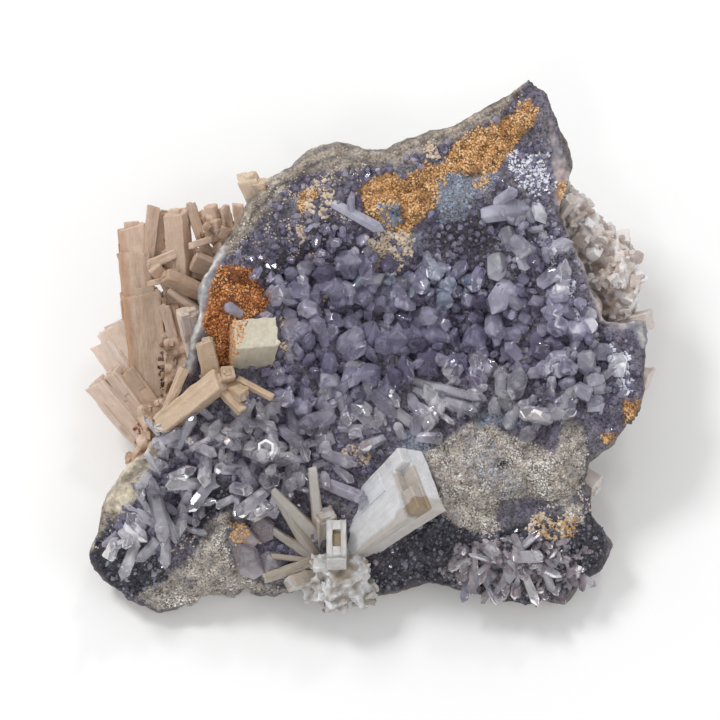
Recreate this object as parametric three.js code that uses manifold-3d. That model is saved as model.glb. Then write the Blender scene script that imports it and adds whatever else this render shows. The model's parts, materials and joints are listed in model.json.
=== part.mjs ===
import * as THREE from 'three';
import { ConvexGeometry } from 'three/addons/geometries/ConvexGeometry.js';
import * as BufferGeometryUtils from 'three/addons/utils/BufferGeometryUtils.js';
import Module from 'manifold-3d';

// A hand-size anhydrite and quartz specimen, lying on its broken back. Millimetres, Z up.
// Most places are in the face frame: u to the right, v up the face, w out of it.

const wasm = await Module();
wasm.setup();

// Driving dimensions
const faceTilt = THREE.MathUtils.degToRad(22); // how far the face leans from level
const faceLift = 28.5; // the face frame's origin above the ground
const gap = 0.3; // clearance between neighbouring pieces
const rimStep = 6.4; // longest facet along the outline
const skinStep = 11; // longest facet along a crust's edge
const rimBand = 0.13; // share of the radius over which the rim drops to the face
const rimJag = 0.7; // how far the broken rim wanders
const coneDepth = 31; // how much deeper the back is at the middle than at the edge
const seedStart = 23;
const quartzSink = 0.8; // how far a drawn prism's root lies under the face
const quartzPoint = 0.62; // length of a quartz point, as a share of the prism's width
const quartzFoot = 0.8; // a quartz prism's root, as a share of its width

// Broken outline of the plate, clockwise from the lower left corner: u, v and the rim's w
const outline = [
  [-53.5, -39.5, -3], [-50.5, -30, -1], [-47, -24, 1], [-41.5, -18, 2], [-38.5, -13, 3],
  [-35, -4.5, 4], [-33, 1.5, 4], [-32.2, 10, 4], [-29.5, 17, 4], [-26, 21, 4],
  [-23.5, 27, 4], [-19, 32, 4], [-11.5, 36.8, 4], [-6, 38.4, 3], [-0.5, 37, 3],
  [3, 36.8, 3], [7, 39.2, 3], [16, 42.3, 3], [26, 47.5, 4], [30, 51, 4],
  [33, 48, 4], [36.8, 38, 4], [37.5, 31, 3], [35.5, 25.5, 3], [38, 20.5, 3],
  [41.5, 12, 3], [44.2, 5, 2], [51.5, 5, 0], [52.3, 0.5, 0], [51.3, -12, 0],
  [46, -18, 0], [41.5, -21.5, 0], [41, -25.5, -1], [43, -32.5, -2], [45.8, -37, -3],
  [43.6, -42, -4], [37, -48.7, -5], [29.5, -49, -5], [22, -48, -5], [13.5, -45.6, -5],
  [0.5, -46.2, -5], [-13.5, -47, -5], [-20.5, -47.2, -5], [-28, -46.6, -5],
  [-36, -49.8, -5], [-40.5, -50.4, -5], [-46.5, -48.5, -5], [-51, -44, -5],
];

// Rings of the plate from the rim to the middle, as shares of the radius
const frontRings = [1, 0.96, 0.9, 0.82, 0.72, 0.58, 0.4, 0.2];
const sideRings = [
  { share: 1.005, drop: 0.3 },
  { share: 0.985, drop: 0.65 },
  { share: 0.94, drop: 1 },
];
const backRings = [0.82, 0.62, 0.36];

// Lumps and pits of the face: u, v, half width, half height, rise
const lumps = [
  [12, 4, 27, 15, -9.5], // the hollow
  [2, -14, 22, 8, -2.5], // the hollow's lower left arm
  [-14, 12, 9, 8, -2.5],
  [26, -22, 8, 5, 5], // tan granular lumps of the lower lip
  [36, -17, 4, 7, 3.5],
  [16, -26, 9, 6.5, 4],
  [39, -29, 5, 6, 2.5],
  [24.5, -22.5, 2.4, 2.2, -4],
  [4, -20, 4, 4, 1.5],
  [-25.5, 6, 5, 9, 3], // orange mass of the left rim
  [-28, -41, 10, 5.5, 3], // tan mass of the lower left
  [-35, -30, 6, 7, -2.5],
  [6.5, 34, 4, 2.6, 1.8], // smooth lumps under the top rim
  [15, 26.5, 3.4, 3, 2.6],
  [24, 29, 8, 5, 1.6],
  [21, 18, 4, 5, -1.6],
  [30, -39, 10, 5, 1.5],
  [44, -3, 6, 8, 1.2],
  [0, -47, 50, 7, -3.5], // the lower edge falls away
];

// Quartz of the hollow, drawn one by one: root u and v, tip u and v, rise over the crust, width
const hollowQuartz = [
  [-7, 27.5, 3.4, 21.7, 3, 2.7], [-3.6, 24.7, -3.6, 30, 3, 2.3], [-12.9, 11.8, -12.9, 16.7, 3, 2.7],
  [-15.6, 9.1, -16.9, 12.5, 4, 3], [-3.8, -4.6, -0.8, -2.7, 5, 4.6], [-0.2, -5.1, 6.1, -12.2, 3.5, 2.9],
  [0.9, -15.2, -3.8, -10.3, 4, 2.8], [-4.4, -9.5, -4.5, -15.5, 3, 2.6], [-8.6, -8.9, -6.8, -6.8, 5, 4.2],
  [-8.4, -13.5, -8.4, -9.5, 4, 1.4], [-9.3, -19.8, -9.3, -14, 4, 2.9], [11, 14.4, 11, 18.6, 2.5, 2.3],
  [-3, 16, -3, 19, 2.5, 2], [-6, 14, -5.6, 17, 2.5, 2], [0, 16.5, -0.8, 19.6, 2.5, 2],
  [23.8, 27.5, 28.1, 30, 3, 2.4], [21.5, 25.3, 31.4, 26.8, 2.5, 4], [27, 20, 26.6, 23.6, 4, 5],
  [8.2, -6.1, 22, -10.3, 3.5, 2.5], [8.6, -8.2, 21.3, -12.4, 3, 2.5], [12, -11.4, 16.2, -14.8, 3.5, 1.4],
  [25.7, -7, 24.3, -1.9, 5, 4.2], [27.6, -8.9, 28.5, -3.2, 5.5, 4.2], [26.5, -10.5, 23.4, -8.6, 5, 3.6],
  [30.8, -4.9, 36.1, -3.8, 4, 3.8], [41.2, -6.3, 41.2, -2, 3, 2.7], [43.3, -6, 46.4, -3.4, 2.5, 1.6],
  [36.4, -9.5, 40.4, -8.8, 3, 2.6], [38.2, -12, 38.6, -8, 3, 2.2], [28.3, -12.9, 37.4, -12.2, 3.5, 2.7],
  [29.5, -17, 31, -15, 4, 3.4], [8.9, -16.5, 8.9, -10.6, 4, 3.4], [9.4, -17.1, 14.6, -17.1, 3.5, 2.7],
  [-22.2, -9.9, -25.7, -16.3, 4, 2], [-22.6, -14.1, -16.9, -15.4, 4, 2.7], [-17.5, -20.4, -17.5, -19, 5, 3.2],
  [-14.3, -20.5, -14.3, -15.5, 4, 2.3], [-28.3, -14.6, -28.3, -13, 5, 3.5], [-31.7, -14.8, -23.4, -19.4, 4, 2.8],
  [-19, -25.4, -19, -23, 4.5, 4.6], [-20, -31, -20, -28.6, 5, 4], [-35.5, -16.5, -38.6, -19, 3, 3],
  [-39.3, -25.3, -32.5, -22.4, 4, 2.8], [-40.7, -18.5, -33.6, -15, 2.5, 3.4], [-41, -23, -38.5, -21, 3, 3],
];

// Loose fill of the hollow: how many prisms, their widths and where they stand
const hollowFill = {
  count: 14,
  least: 2.6,
  most: 4.8,
  lean: 0.6,
  long: 1.5,
  fields: [[13, 4, 27, 15], [-13, -8, 14, 12], [10, 0, 24, 12], [-28, -20, 9, 6]],
};

const lowerLeftQuartz = [
  [-21.9, -41.2, -25.3, -37.2, 5, 5.6], [-22.8, -37.4, -27.4, -33.8, 5, 5.2], [-20, -35.6, -20.5, -31.9, 5, 5],
  [-20.5, -42, -19.5, -36.8, 4, 4.4],
];

const cornerQuartz = [
  [-41.4, -27, -38, -38, 4.5, 4], [-38.8, -36, -38.8, -42, 3.5, 2], [-35.7, -30, -35.7, -35.7, 3.5, 3],
  [-33.2, -30.8, -33, -33.6, 3, 1.8], [-48, -34.5, -42, -39.5, 3.5, 5.5], [-44, -36, -47, -33, 3.5, 4],
];

const lowerRightQuartz = [
  [24.9, -39.7, 34, -39.3, 4, 2.7], [28.5, -38.4, 32.1, -34, 4, 2.4], [20, -40, 13.9, -42.2, 3.5, 2],
  [20.4, -42, 19, -47.2, 3.5, 2.2], [19, -43.5, 17.3, -49.4, 1.5, 2.2], [26.4, -40, 26.4, -46, 5, 3.2],
  [29, -42, 32.1, -49.8, 2.5, 2.8], [23, -42, 22, -46.4, 4, 3], [24, -39.5, 21.6, -36.6, 4, 3],
  [34, -41, 36, -40.4, 4, 2.4], [38, -42, 41, -42.6, 2.5, 2.2], [28, -43, 27.6, -48.6, 2, 2],
];

// Anhydrite: root and tip in the face frame, width, thickness, roll about the length, end bevel
// and, where the section changes along the length, the end's section as a share of the root's
const anhydrite = {
  block_cluster: [
    [[-3.8, -36.6, -3.4], [9.6, -24.5, 8.2], 9.4, 4.8, -1.45, 0.6, 1.42], // the big block
    [[-6.4, -33.5, 1.5], [-6.3, -40.5, 6.6], 3.7, 5, 0, 0.4], // the small square block
    [[-8.6, -37.6, -1.5], [-18.2, -26.6, 8], 3.2, 1.6, 0.5, 0.2, 0.35], // the two blades
    [[-10.8, -39.5, -1.5], [-18.2, -27.2, 6.4], 2.8, 1.5, -0.3, 0.2, 0.4],
    [[-9.6, -37, -1.5], [-10.8, -22.6, 8], 2.4, 1.4, 0.1, 0.3, 0.7], // the upright lath
    [[-8.6, -38, -3], [-8.6, -31.4, 2.6], 3.8, 3, 0.4, 0.5],
    [[-11, -40.6, -1.5], [-19.8, -43.6, 2], 2.1, 1.9, 0.3, 0.3],
    [[-11.4, -39.5, -1.5], [-19.2, -34, 2], 2.4, 1.3, 0.4, 0.3, 0.5],
    [[-10.6, -40.6, -2], [-18.9, -39.4, 2], 1.2, 1, 0, 0.2],
    [[-10, -43.6, -3], [-15.2, -44.6, 2.5], 2.8, 2.6, 0.6, 0.3],
    [[-6.5, -46.5, -5.5], [-5.2, -40.5, 2], 9, 8, 0.5, 2.2], // the rough knob
    [[-9.5, -45, -5], [-10.5, -46, 0.5], 5.5, 5, 0.2, 1.2],
    [[-3.2, -45.5, -5], [-1.2, -46.6, -0.5], 4.6, 4.6, 0.9, 1.2],
    [[-6.6, -49.4, -5], [-6.4, -46.5, 1], 4.6, 3, 0, 1],
  ],
  rim_block: [[[-23.8, -3.2, -4.5], [-21.4, 2.8, 7.6], 8.2, 5.8, 0.12, 0.5]],
  rim_prisms: [
    [[-39.5, -14.8, 1], [-28, -5.9, 6], 3.9, 3.8, 0.35, 0.5], // the long one on the rim
    [[-39.2, -13.4, 1.5], [-35, -3.9, 4.5], 1.5, 1.9, 0, 0.3],
    [[-29.2, -7.6, 2], [-31.2, 1.2, 7], 3.3, 2.6, 0.2, 0.5],
    [[-31.5, -4.5, 3], [-24, -12, 6], 1.7, 1.8, 0.3, 0.4],
    [[-27, -6.8, 3], [-23.6, -8.9, 7.2], 2.6, 2.2, 0.3, 0.3],
    [[-25, -5.9, 4.6], [-18.3, -9.4, 6.5], 1.3, 1.1, 0.3, 0.3],
    [[-28, -6.5, 2], [-26.6, -4.6, 7], 2.6, 2.4, 0.2, 0.3],
  ],
  left_cluster: [
    [[-42.6, -14, -15], [-46.3, 23.6, -11.2], 5, 6.6, 0.25, 0.4], // the tall pillar
    [[-42.4, -13.8, -15], [-45.8, 18.4, -11.3], 5.8, 6.8, 0.25, 0.4],
    [[-42.2, -13.6, -15], [-44.6, 10.9, -11.8], 7.3, 7, 0.25, 0.4],
    [[-43.3, 14, -10.5], [-41.6, 27.3, -7], 2.2, 1.6, 0.2, 0.3], // laths beside its top
    [[-41.9, 13, -12], [-39.8, 26.3, -9], 2.2, 2, 0.1, 0.3],
    [[-36.2, 7, -11.5], [-37.2, 26.2, -6.5], 4.2, 3.6, -0.35, 0.5],
    [[-31, 17, -9], [-34.6, 27.7, -7], 2, 2, 0.3, 0.4],
    [[-28.6, 18, -8], [-30.6, 27.4, -5.8], 2.3, 1.7, -0.4, 0.3],
    [[-26.4, 18.6, -8], [-28, 27.2, -5.6], 1.9, 2, 0.5, 0.3],
    [[-24.2, 19, -8], [-25.4, 27.6, -5.4], 2.1, 1.6, 0.2, 0.3],
    [[-29, 21.4, -7], [-34.4, 19.6, -4.6], 1.5, 1.3, 0.2, 0.2],
    [[-29.6, 15, -8.5], [-34, 16.8, -6], 4, 1.6, 0.5, 0.4],
    [[-36, 18.9, -8], [-42.4, 16, -6.4], 1.9, 1.9, 0.3, 0.3],
    [[-37.6, 11, -9.5], [-41.4, 15.4, -4.4], 2.6, 1.1, 0.8, 0.2],
    [[-38, 13.6, -9.5], [-42, 12.4, -4.8], 2.4, 1.1, 0.2, 0.2],
    [[-31, 10.2, -8.5], [-39.6, 13.8, -4.8], 2.8, 2.4, 0.3, 0.4],
    [[-31, 5.6, -9.5], [-38.6, 11.4, -6.6], 1.3, 1.3, 0.2, 0.2],
    [[-36.5, -4, -13], [-39.6, 8.3, -8.8], 2, 2.4, 0.2, 0.4],
    [[-34, -3, -13], [-38, 8.2, -9.6], 2, 2.2, 0.4, 0.4],
    [[-33, -4, -12], [-35, 7.2, -5.8], 4, 2.6, 0.5, 0.6], // the pale one behind the rim
    [[-43, -11, -13], [-50, 4.4, -12.4], 6.4, 2.6, 0.3, 1.2], // the pinkish plates
    [[-43, -12, -13.2], [-51.8, 1, -13.2], 5, 2.4, 0.1, 1],
    [[-42, -19.5, -12.8], [-52.9, -6.6, -12], 4.3, 3.8, 0.2, 1.2], // prisms of its foot
    [[-41, -16.5, -12], [-50, -4.6, -10.6], 2.8, 2.6, 0.2, 0.5],
    [[-40, -13.5, -11.5], [-46.8, -4, -10.6], 3, 2.6, 0.4, 0.4],
    [[-22, 19.6, -8.6], [-32, 23.8, -6.6], 4.6, 4.4, 0.4, 1.4], // rough root masses
    [[-35, -18, -14.5], [-34.6, 19, -11.8], 11, 6, 0.15, 2.5],
    [[-37, -12, -10.5], [-43.4, -13.2, -4.8], 4.8, 4.4, 0.1, 0.8],
    [[-37, -17, -9.5], [-44.6, -18.2, -5], 2.8, 3.4, 0.4, 0.8],
    [[-35.4, -18.6, -9], [-46.6, -21.6, -5.8], 3.2, 3.2, 0.4, 0.8],
  ],
  top_left_stub: [
    [[-19, 23, -4], [-23.4, 32.4, 1.6], 3.6, 4, 0.3, 0.4],
    [[-18, 23.6, -4], [-20.8, 31.6, 2], 3.6, 3.4, -0.3, 0.4],
  ],
  right_cluster: [
    [[34, 18, -14], [40.6, 27.8, -6], 5.4, 5, 0.4, 1.4],
    [[35, 17, -14], [37.8, 31, -7.4], 3.8, 3.8, 0.2, 1.2],
    [[36, 16, -15], [44.8, 23.2, -7], 6.2, 6, 0.7, 1.6],
    [[37, 13, -16], [50, 18.8, -8.6], 6, 6, 0.3, 1.6],
    [[38, 10, -16], [49.8, 14, -5.6], 8, 6.5, 0.8, 1.8],
    [[38, 8, -15], [50.4, 9.4, -8.5], 6.2, 6, 0.4, 1.6],
    [[40, 2, -12], [54, 5.4, -7.6], 3.8, 3.6, 0.4, 0.6],
    [[41, -4, -14], [53.9, -6.3, -9], 4.8, 3.6, 0.2, 0.9],
    [[40, -1, -15], [53.2, 0.2, -12], 4.6, 4.2, 0.6, 0.9],
    [[33.5, 21, -10], [38.4, 28.6, -2], 3.6, 2.4, 0.6, 0.5],
  ],
  lower_right_tip: [[[36, -22, -9], [43.6, -27, -6.5], 3.8, 3.4, 0.3, 0.9]],
};

// Outline of each crust's skin round its middle: u and v
const crusts = {
  quartz_crust: {
    middle: [0, -2],
    thickness: 1.5,
    edge: [
      [-49, -37], [-45, -27], [-38.5, -18], [-30, -11], [-19.5, -3], [-19, 8],
      [-17.5, 15], [-12, 22], [-9, 29], [-3, 32], [4, 28], [9.5, 20], [15.5, 22], [22, 29.5],
      [32, 31], [33.5, 22], [38.5, 10], [44, 1], [47.5, -5], [41, -11], [34, -15.5],
      [24, -15.5], [14, -19], [7, -20], [3, -25], [-5, -31], [-12, -40], [-18.5, -44.5],
      [-28, -43.5], [-37.5, -43],
    ],
  },
  quartz_lower_right: {
    middle: [26, -40],
    thickness: 1.4,
    edge: [
      [12.5, -42], [17, -36], [24, -34], [33, -33.5], [40, -38], [42.5, -43], [35, -46],
      [26, -46.5], [17, -45.6],
    ],
  },
};
const skinRoot = 2.2; // how far a skin reaches into the plate
const skinRings = [0.2, 0.42, 0.64, 0.86, 1];
const skinRootRings = [1, 0.6];
const pocketHeight = 9;
const pocketSlack = 1.5; // how many gaps wider than the skin its pocket is
const skinEdgeLift = 0.2; // how far a skin stands over the face at its edge

// Uneven relief of about this size across, up and down by this depth
function roughness(u, v, size, depth) {
  const bend = Math.sin(v / size + 0.7) * 1.6;
  const sway = Math.sin((u / size) * 0.8 + 2.1) * 1.6;
  return depth * Math.sin((u / size) * 1.3 + bend) * Math.cos((v / size) * 1.2 + sway);
}

function seededRandom(seed) {
  let state = seed;
  return () => {
    state = (state * 16807) % 2147483647;
    return state / 2147483647;
  };
}

// Solids from and to three.js geometry

function solidOf(geometry) {
  const bare = geometry.clone();
  bare.deleteAttribute('normal');
  bare.deleteAttribute('uv');
  const merged = BufferGeometryUtils.mergeVertices(bare, 1e-5);
  const vertProperties = new Float32Array(merged.attributes.position.array);
  const triVerts = new Uint32Array(merged.index.array);
  return new wasm.Manifold(new wasm.Mesh({ numProp: 3, vertProperties, triVerts }));
}

function geometryOf(solid) {
  const mesh = solid.getMesh();
  const geometry = new THREE.BufferGeometry();
  geometry.setAttribute('position', new THREE.BufferAttribute(mesh.vertProperties, 3));
  geometry.setIndex(new THREE.BufferAttribute(mesh.triVerts, 1));
  return geometry;
}

function joinAll(solids) {
  return solids.reduce((whole, solid) => whole.add(solid));
}

// A closed net: a point on top, rings clockwise seen from above, and a point below
function netSolid(positions, count, rings) {
  const at = (ring, k) => 1 + ring * count + (k % count);
  const last = 1 + rings * count;
  const corners = [];
  for (let k = 0; k < count; k++) {
    corners.push(0, at(0, k + 1), at(0, k));
    for (let ring = 0; ring < rings - 1; ring++) {
      corners.push(at(ring, k), at(ring, k + 1), at(ring + 1, k));
      corners.push(at(ring, k + 1), at(ring + 1, k + 1), at(ring + 1, k));
    }
    corners.push(last, at(rings - 1, k), at(rings - 1, k + 1));
  }
  const geometry = new THREE.BufferGeometry();
  geometry.setAttribute('position', new THREE.Float32BufferAttribute(positions, 3));
  geometry.setIndex(corners);
  return solidOf(geometry);
}

// The biggest piece of a cut solid, without the chips that a cut leaves beside it
function largestBody(solid) {
  const mesh = solid.getMesh();
  const owner = Array.from({ length: mesh.vertProperties.length / 3 }, (_, i) => i);
  const rootOf = (i) => {
    let top = i;
    while (owner[top] !== top) top = owner[top];
    owner[i] = top;
    return top;
  };
  const corners = Array.from(mesh.triVerts);
  for (let t = 0; t < corners.length; t += 3) {
    owner[rootOf(corners[t])] = rootOf(corners[t + 1]);
    owner[rootOf(corners[t + 1])] = rootOf(corners[t + 2]);
  }
  const tally = new Map();
  corners.forEach((i) => tally.set(rootOf(i), (tally.get(rootOf(i)) ?? 0) + 1));
  const biggest = [...tally].reduce((most, entry) => (entry[1] > most[1] ? entry : most))[0];
  const triVerts = new Uint32Array(corners.filter((i) => rootOf(i) === biggest));
  return new wasm.Manifold(new wasm.Mesh({ numProp: 3, vertProperties: mesh.vertProperties, triVerts }));
}

// The plate

// Points of a closed outline with its long edges divided
function divided(points, step) {
  return points.flatMap((from, i) => {
    const to = points[(i + 1) % points.length];
    const parts = Math.ceil(Math.hypot(to[0] - from[0], to[1] - from[1]) / step);
    const shares = Array.from({ length: parts }, (_, k) => k / parts);
    return shares.map((share) => from.map((value, axis) => THREE.MathUtils.lerp(value, to[axis], share)));
  });
}

function rimLoop() {
  return divided(outline, rimStep).map(([u, v, w]) => {
    const reach = 1 + roughness(u, v, 2.3, rimJag) / Math.hypot(u, v);
    return new THREE.Vector3(u * reach, v * reach, w);
  });
}

function faceHeight(u, v) {
  let w = THREE.MathUtils.mapLinear(v, -50, 50, 0, 3);
  for (const [lumpU, lumpV, halfWidth, halfHeight, rise] of lumps) {
    const far = ((u - lumpU) / halfWidth) ** 2 + ((v - lumpV) / halfHeight) ** 2;
    w += rise * Math.exp(-far);
  }
  return w + roughness(u, v, 5, 0.9) + roughness(u + 9, v, 2.1, 0.4);
}

function edgeThickness(v) {
  return THREE.MathUtils.mapLinear(v, -50, 50, 11, 13);
}

// A closed net of rings: front from the rim inward, then the side and the back
function plateSolid(grow) {
  const loop = rimLoop();
  const count = loop.length;
  const positions = [0, 0, faceHeight(0, 0) + grow];
  const addRing = (place) => loop.forEach((rim) => positions.push(...place(rim)));
  const spread = (rim, share) => share + grow / Math.hypot(rim.x, rim.y);
  for (const share of [...frontRings].reverse()) {
    addRing((rim) => {
      const u = rim.x * share;
      const v = rim.y * share;
      const inward = THREE.MathUtils.smoothstep(1 - share, 0, rimBand);
      const w = THREE.MathUtils.lerp(rim.z, faceHeight(u, v), inward);
      const reach = share === 1 ? spread(rim, 1) : share;
      return [rim.x * reach, rim.y * reach, w + grow];
    });
  }
  for (const { share, drop } of sideRings) {
    addRing((rim) => {
      const reach = spread(rim, share + roughness(rim.x, rim.y, 4 * drop + 2, 0.025));
      return [rim.x * reach, rim.y * reach, rim.z - drop * edgeThickness(rim.y) - grow];
    });
  }
  for (const share of backRings) {
    addRing((rim) => {
      const reach = spread(rim, share);
      const deep = edgeThickness(rim.y) + coneDepth * (1 - share) ** 0.7;
      const w = rim.z - deep + roughness(rim.x * share, rim.y * share, 7, 1.8) - grow;
      return [rim.x * reach, rim.y * reach, w];
    });
  }
  positions.push(0, 0, -coneDepth - edgeThickness(0));

  const rings = frontRings.length + sideRings.length + backRings.length;
  return netSolid(positions, count, rings);
}

// Everything over the ground, as a big block in the face frame
function overGround() {
  const side = 200;
  const block = new THREE.BoxGeometry(side, side, side);
  block.translate(0, 0, side / 2 - faceLift);
  block.rotateX(-faceTilt);
  return solidOf(block);
}

// Crystals

function placed(geometry, root, tip, roll) {
  const along = tip.clone().sub(root).normalize();
  const turn = new THREE.Quaternion().setFromUnitVectors(new THREE.Vector3(0, 0, 1), along);
  geometry.rotateZ(roll);
  geometry.applyQuaternion(turn);
  geometry.translate(root.x, root.y, root.z);
  return solidOf(geometry);
}

// A six-sided prism with a low pyramid on its free end
function quartzCrystal(root, tip, width, roll) {
  const length = root.distanceTo(tip);
  const radius = width / 2;
  const shoulder = Math.max(length - width * quartzPoint, length / 2);
  const points = [new THREE.Vector3(0, 0, length)];
  for (let k = 0; k < 6; k++) {
    const angle = (k * Math.PI) / 3;
    const x = Math.cos(angle) * radius;
    const y = Math.sin(angle) * radius;
    points.push(new THREE.Vector3(x, y, shoulder), new THREE.Vector3(x * quartzFoot, y * quartzFoot, 0));
  }
  return placed(new ConvexGeometry(points), root, tip, roll);
}

// A rectangular prism with bevelled edges on its free end
function anhydriteCrystal([root, tip, wide, thick, roll, bevel, endShare = 1], grow) {
  const foot = new THREE.Vector3(...root);
  const end = new THREE.Vector3(...tip);
  const length = foot.distanceTo(end) + grow;
  const points = [];
  for (const [sideX, sideY] of [[-1, -1], [-1, 1], [1, -1], [1, 1]]) {
    const footX = sideX * (wide / 2 + grow);
    const footY = sideY * (thick / 2 + grow);
    const endX = sideX * ((wide / 2) * endShare + grow);
    const endY = sideY * ((thick / 2) * endShare + grow);
    points.push(new THREE.Vector3(footX, footY, -grow), new THREE.Vector3(endX, endY, length - bevel));
    points.push(new THREE.Vector3(endX - sideX * bevel, endY - sideY * bevel * 0.6, length));
  }
  return placed(new ConvexGeometry(points), foot, end, roll);
}

function anhydriteCluster(name, grow) {
  return joinAll(anhydrite[name].map((crystal) => anhydriteCrystal(crystal, grow)));
}

// Crusts: a thin skin that follows the face, with its prisms

// With a pocket height it is the space that the skin takes out of the plate, open to the front
function skinSolid({ middle, thickness, edge }, pocket) {
  const grow = pocket ? gap : 0;
  const [midU, midV] = middle;
  const loop = divided(edge, skinStep);
  const positions = [midU, midV, faceHeight(midU, midV) + (pocket || thickness)];
  const addRing = (share, lift) => {
    for (const [edgeU, edgeV] of loop) {
      const reach = share * (1 + (grow / Math.hypot(edgeU - midU, edgeV - midV)) * pocketSlack);
      const u = THREE.MathUtils.lerp(midU, edgeU, reach);
      const v = THREE.MathUtils.lerp(midV, edgeV, reach);
      positions.push(u, v, faceHeight(u, v) + lift);
    }
  };
  skinRings.forEach((share) => addRing(share, pocket || (share === 1 ? skinEdgeLift : thickness)));
  skinRootRings.forEach((share) => addRing(share, -skinRoot - grow));
  positions.push(midU, midV, faceHeight(midU, midV) - skinRoot - grow);
  return netSolid(positions, loop.length, skinRings.length + skinRootRings.length);
}

function quartzFrom([rootU, rootV, tipU, tipV, rise, width], index) {
  const root = new THREE.Vector3(rootU, rootV, faceHeight(rootU, rootV) - quartzSink);
  const tip = new THREE.Vector3(tipU, tipV, faceHeight(tipU, tipV) + rise);
  return quartzCrystal(root, tip, width, index * 0.7);
}

function hollowFillers() {
  const random = seededRandom(seedStart);
  const fillers = [];
  for (let k = 0; k < hollowFill.count; k++) {
    const [midU, midV, halfWidth, halfHeight] = hollowFill.fields[k % hollowFill.fields.length];
    const angle = random() * 2 * Math.PI;
    const far = Math.sqrt(random()) * 0.8;
    const u = midU + Math.cos(angle) * halfWidth * far;
    const v = midV + Math.sin(angle) * halfHeight * far;
    const width = THREE.MathUtils.lerp(hollowFill.least, hollowFill.most, random() ** 2);
    const length = width * hollowFill.long;
    const leanU = (random() - 0.5) * 2 * hollowFill.lean * length;
    const leanV = (random() - 0.3) * 2 * hollowFill.lean * length;
    fillers.push([u, v, u + leanU, v + leanV, length, width]);
  }
  return fillers;
}

function crustSolid(crust, crystals) {
  const prisms = joinAll(crystals.map(quartzFrom)).subtract(plateClear);
  return largestBody(skinSolid(crust, 0).add(prisms).subtract(sunkClear));
}

// Colours and finishes of the specimen
const looks = {
  stone: { color: 0x7f7d84, roughness: 0.85, metalness: 0 },
  quartz: { color: 0xb9b6c8, roughness: 0.12, metalness: 0 },
  cream: { color: 0xdccfb4, roughness: 0.55, metalness: 0 },
  tan: { color: 0xc2a384, roughness: 0.65, metalness: 0 },
};

const cutAtPlate = ['left_cluster']; // the others stand in pockets of the plate
const tanNodes = ['left_cluster', 'lower_right_tip', 'top_left_stub'];

const plate = plateSolid(0);
const plateClear = plateSolid(gap);
const ground = overGround();
const names = Object.keys(anhydrite);
const sunk = names.filter((name) => !cutAtPlate.includes(name));
const sunkClear = joinAll(sunk.map((name) => anhydriteCluster(name, gap)));
const bodies = names.map((name) => {
  const cluster = anhydriteCluster(name, 0);
  return cutAtPlate.includes(name) ? largestBody(cluster.subtract(plateClear)) : cluster;
});

const specimen = new THREE.Group();
specimen.name = 'anhydrite_specimen';
const face = new THREE.Group();
face.rotation.x = faceTilt;
face.position.z = faceLift;
specimen.add(face);

function addPiece(name, solid, look) {
  const material = new THREE.MeshStandardMaterial(looks[look]);
  const mesh = new THREE.Mesh(geometryOf(solid), material);
  mesh.name = name;
  face.add(mesh);
}

const pockets = joinAll(Object.values(crusts).map((crust) => skinSolid(crust, pocketHeight)));
const matrix = plate.intersect(ground).subtract(sunkClear).subtract(pockets);
addPiece('matrix', largestBody(matrix), 'stone');

const mainCrystals = [...hollowQuartz, ...hollowFillers(), ...lowerLeftQuartz, ...cornerQuartz];
addPiece('quartz_crust', crustSolid(crusts.quartz_crust, mainCrystals), 'quartz');
addPiece('quartz_lower_right', crustSolid(crusts.quartz_lower_right, lowerRightQuartz), 'quartz');

names.forEach((name, i) => {
  addPiece(name, bodies[i], tanNodes.includes(name) ? 'tan' : 'cream');
});

export default specimen;
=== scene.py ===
import json
import math
import bmesh
import bpy
import numpy as np
from mathutils import Matrix, Vector, noise
from mathutils.bvhtree import BVHTree


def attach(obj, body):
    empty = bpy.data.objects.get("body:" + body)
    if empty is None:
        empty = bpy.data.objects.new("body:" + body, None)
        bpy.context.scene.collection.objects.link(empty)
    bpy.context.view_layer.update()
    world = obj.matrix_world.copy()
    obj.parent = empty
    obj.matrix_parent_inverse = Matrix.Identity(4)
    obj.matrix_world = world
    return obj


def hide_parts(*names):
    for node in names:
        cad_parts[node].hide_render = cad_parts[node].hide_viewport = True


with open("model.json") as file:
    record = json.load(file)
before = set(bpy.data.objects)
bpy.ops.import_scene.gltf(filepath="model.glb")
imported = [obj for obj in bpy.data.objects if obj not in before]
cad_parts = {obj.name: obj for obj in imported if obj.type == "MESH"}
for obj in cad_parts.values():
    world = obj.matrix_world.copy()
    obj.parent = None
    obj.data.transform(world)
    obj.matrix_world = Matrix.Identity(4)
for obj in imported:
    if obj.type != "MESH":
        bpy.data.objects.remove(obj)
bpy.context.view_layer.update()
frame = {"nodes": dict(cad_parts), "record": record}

# The face frame of the specimen: u right, v up the face, w out of it, in millimetres
face = {"tilt": math.radians(22), "lift": 28.5, "rimStep": 6.4, "rimParts": 8, "rimJag": 0.7,
        "rimBand": 0.13}
mm = 0.001

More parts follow.
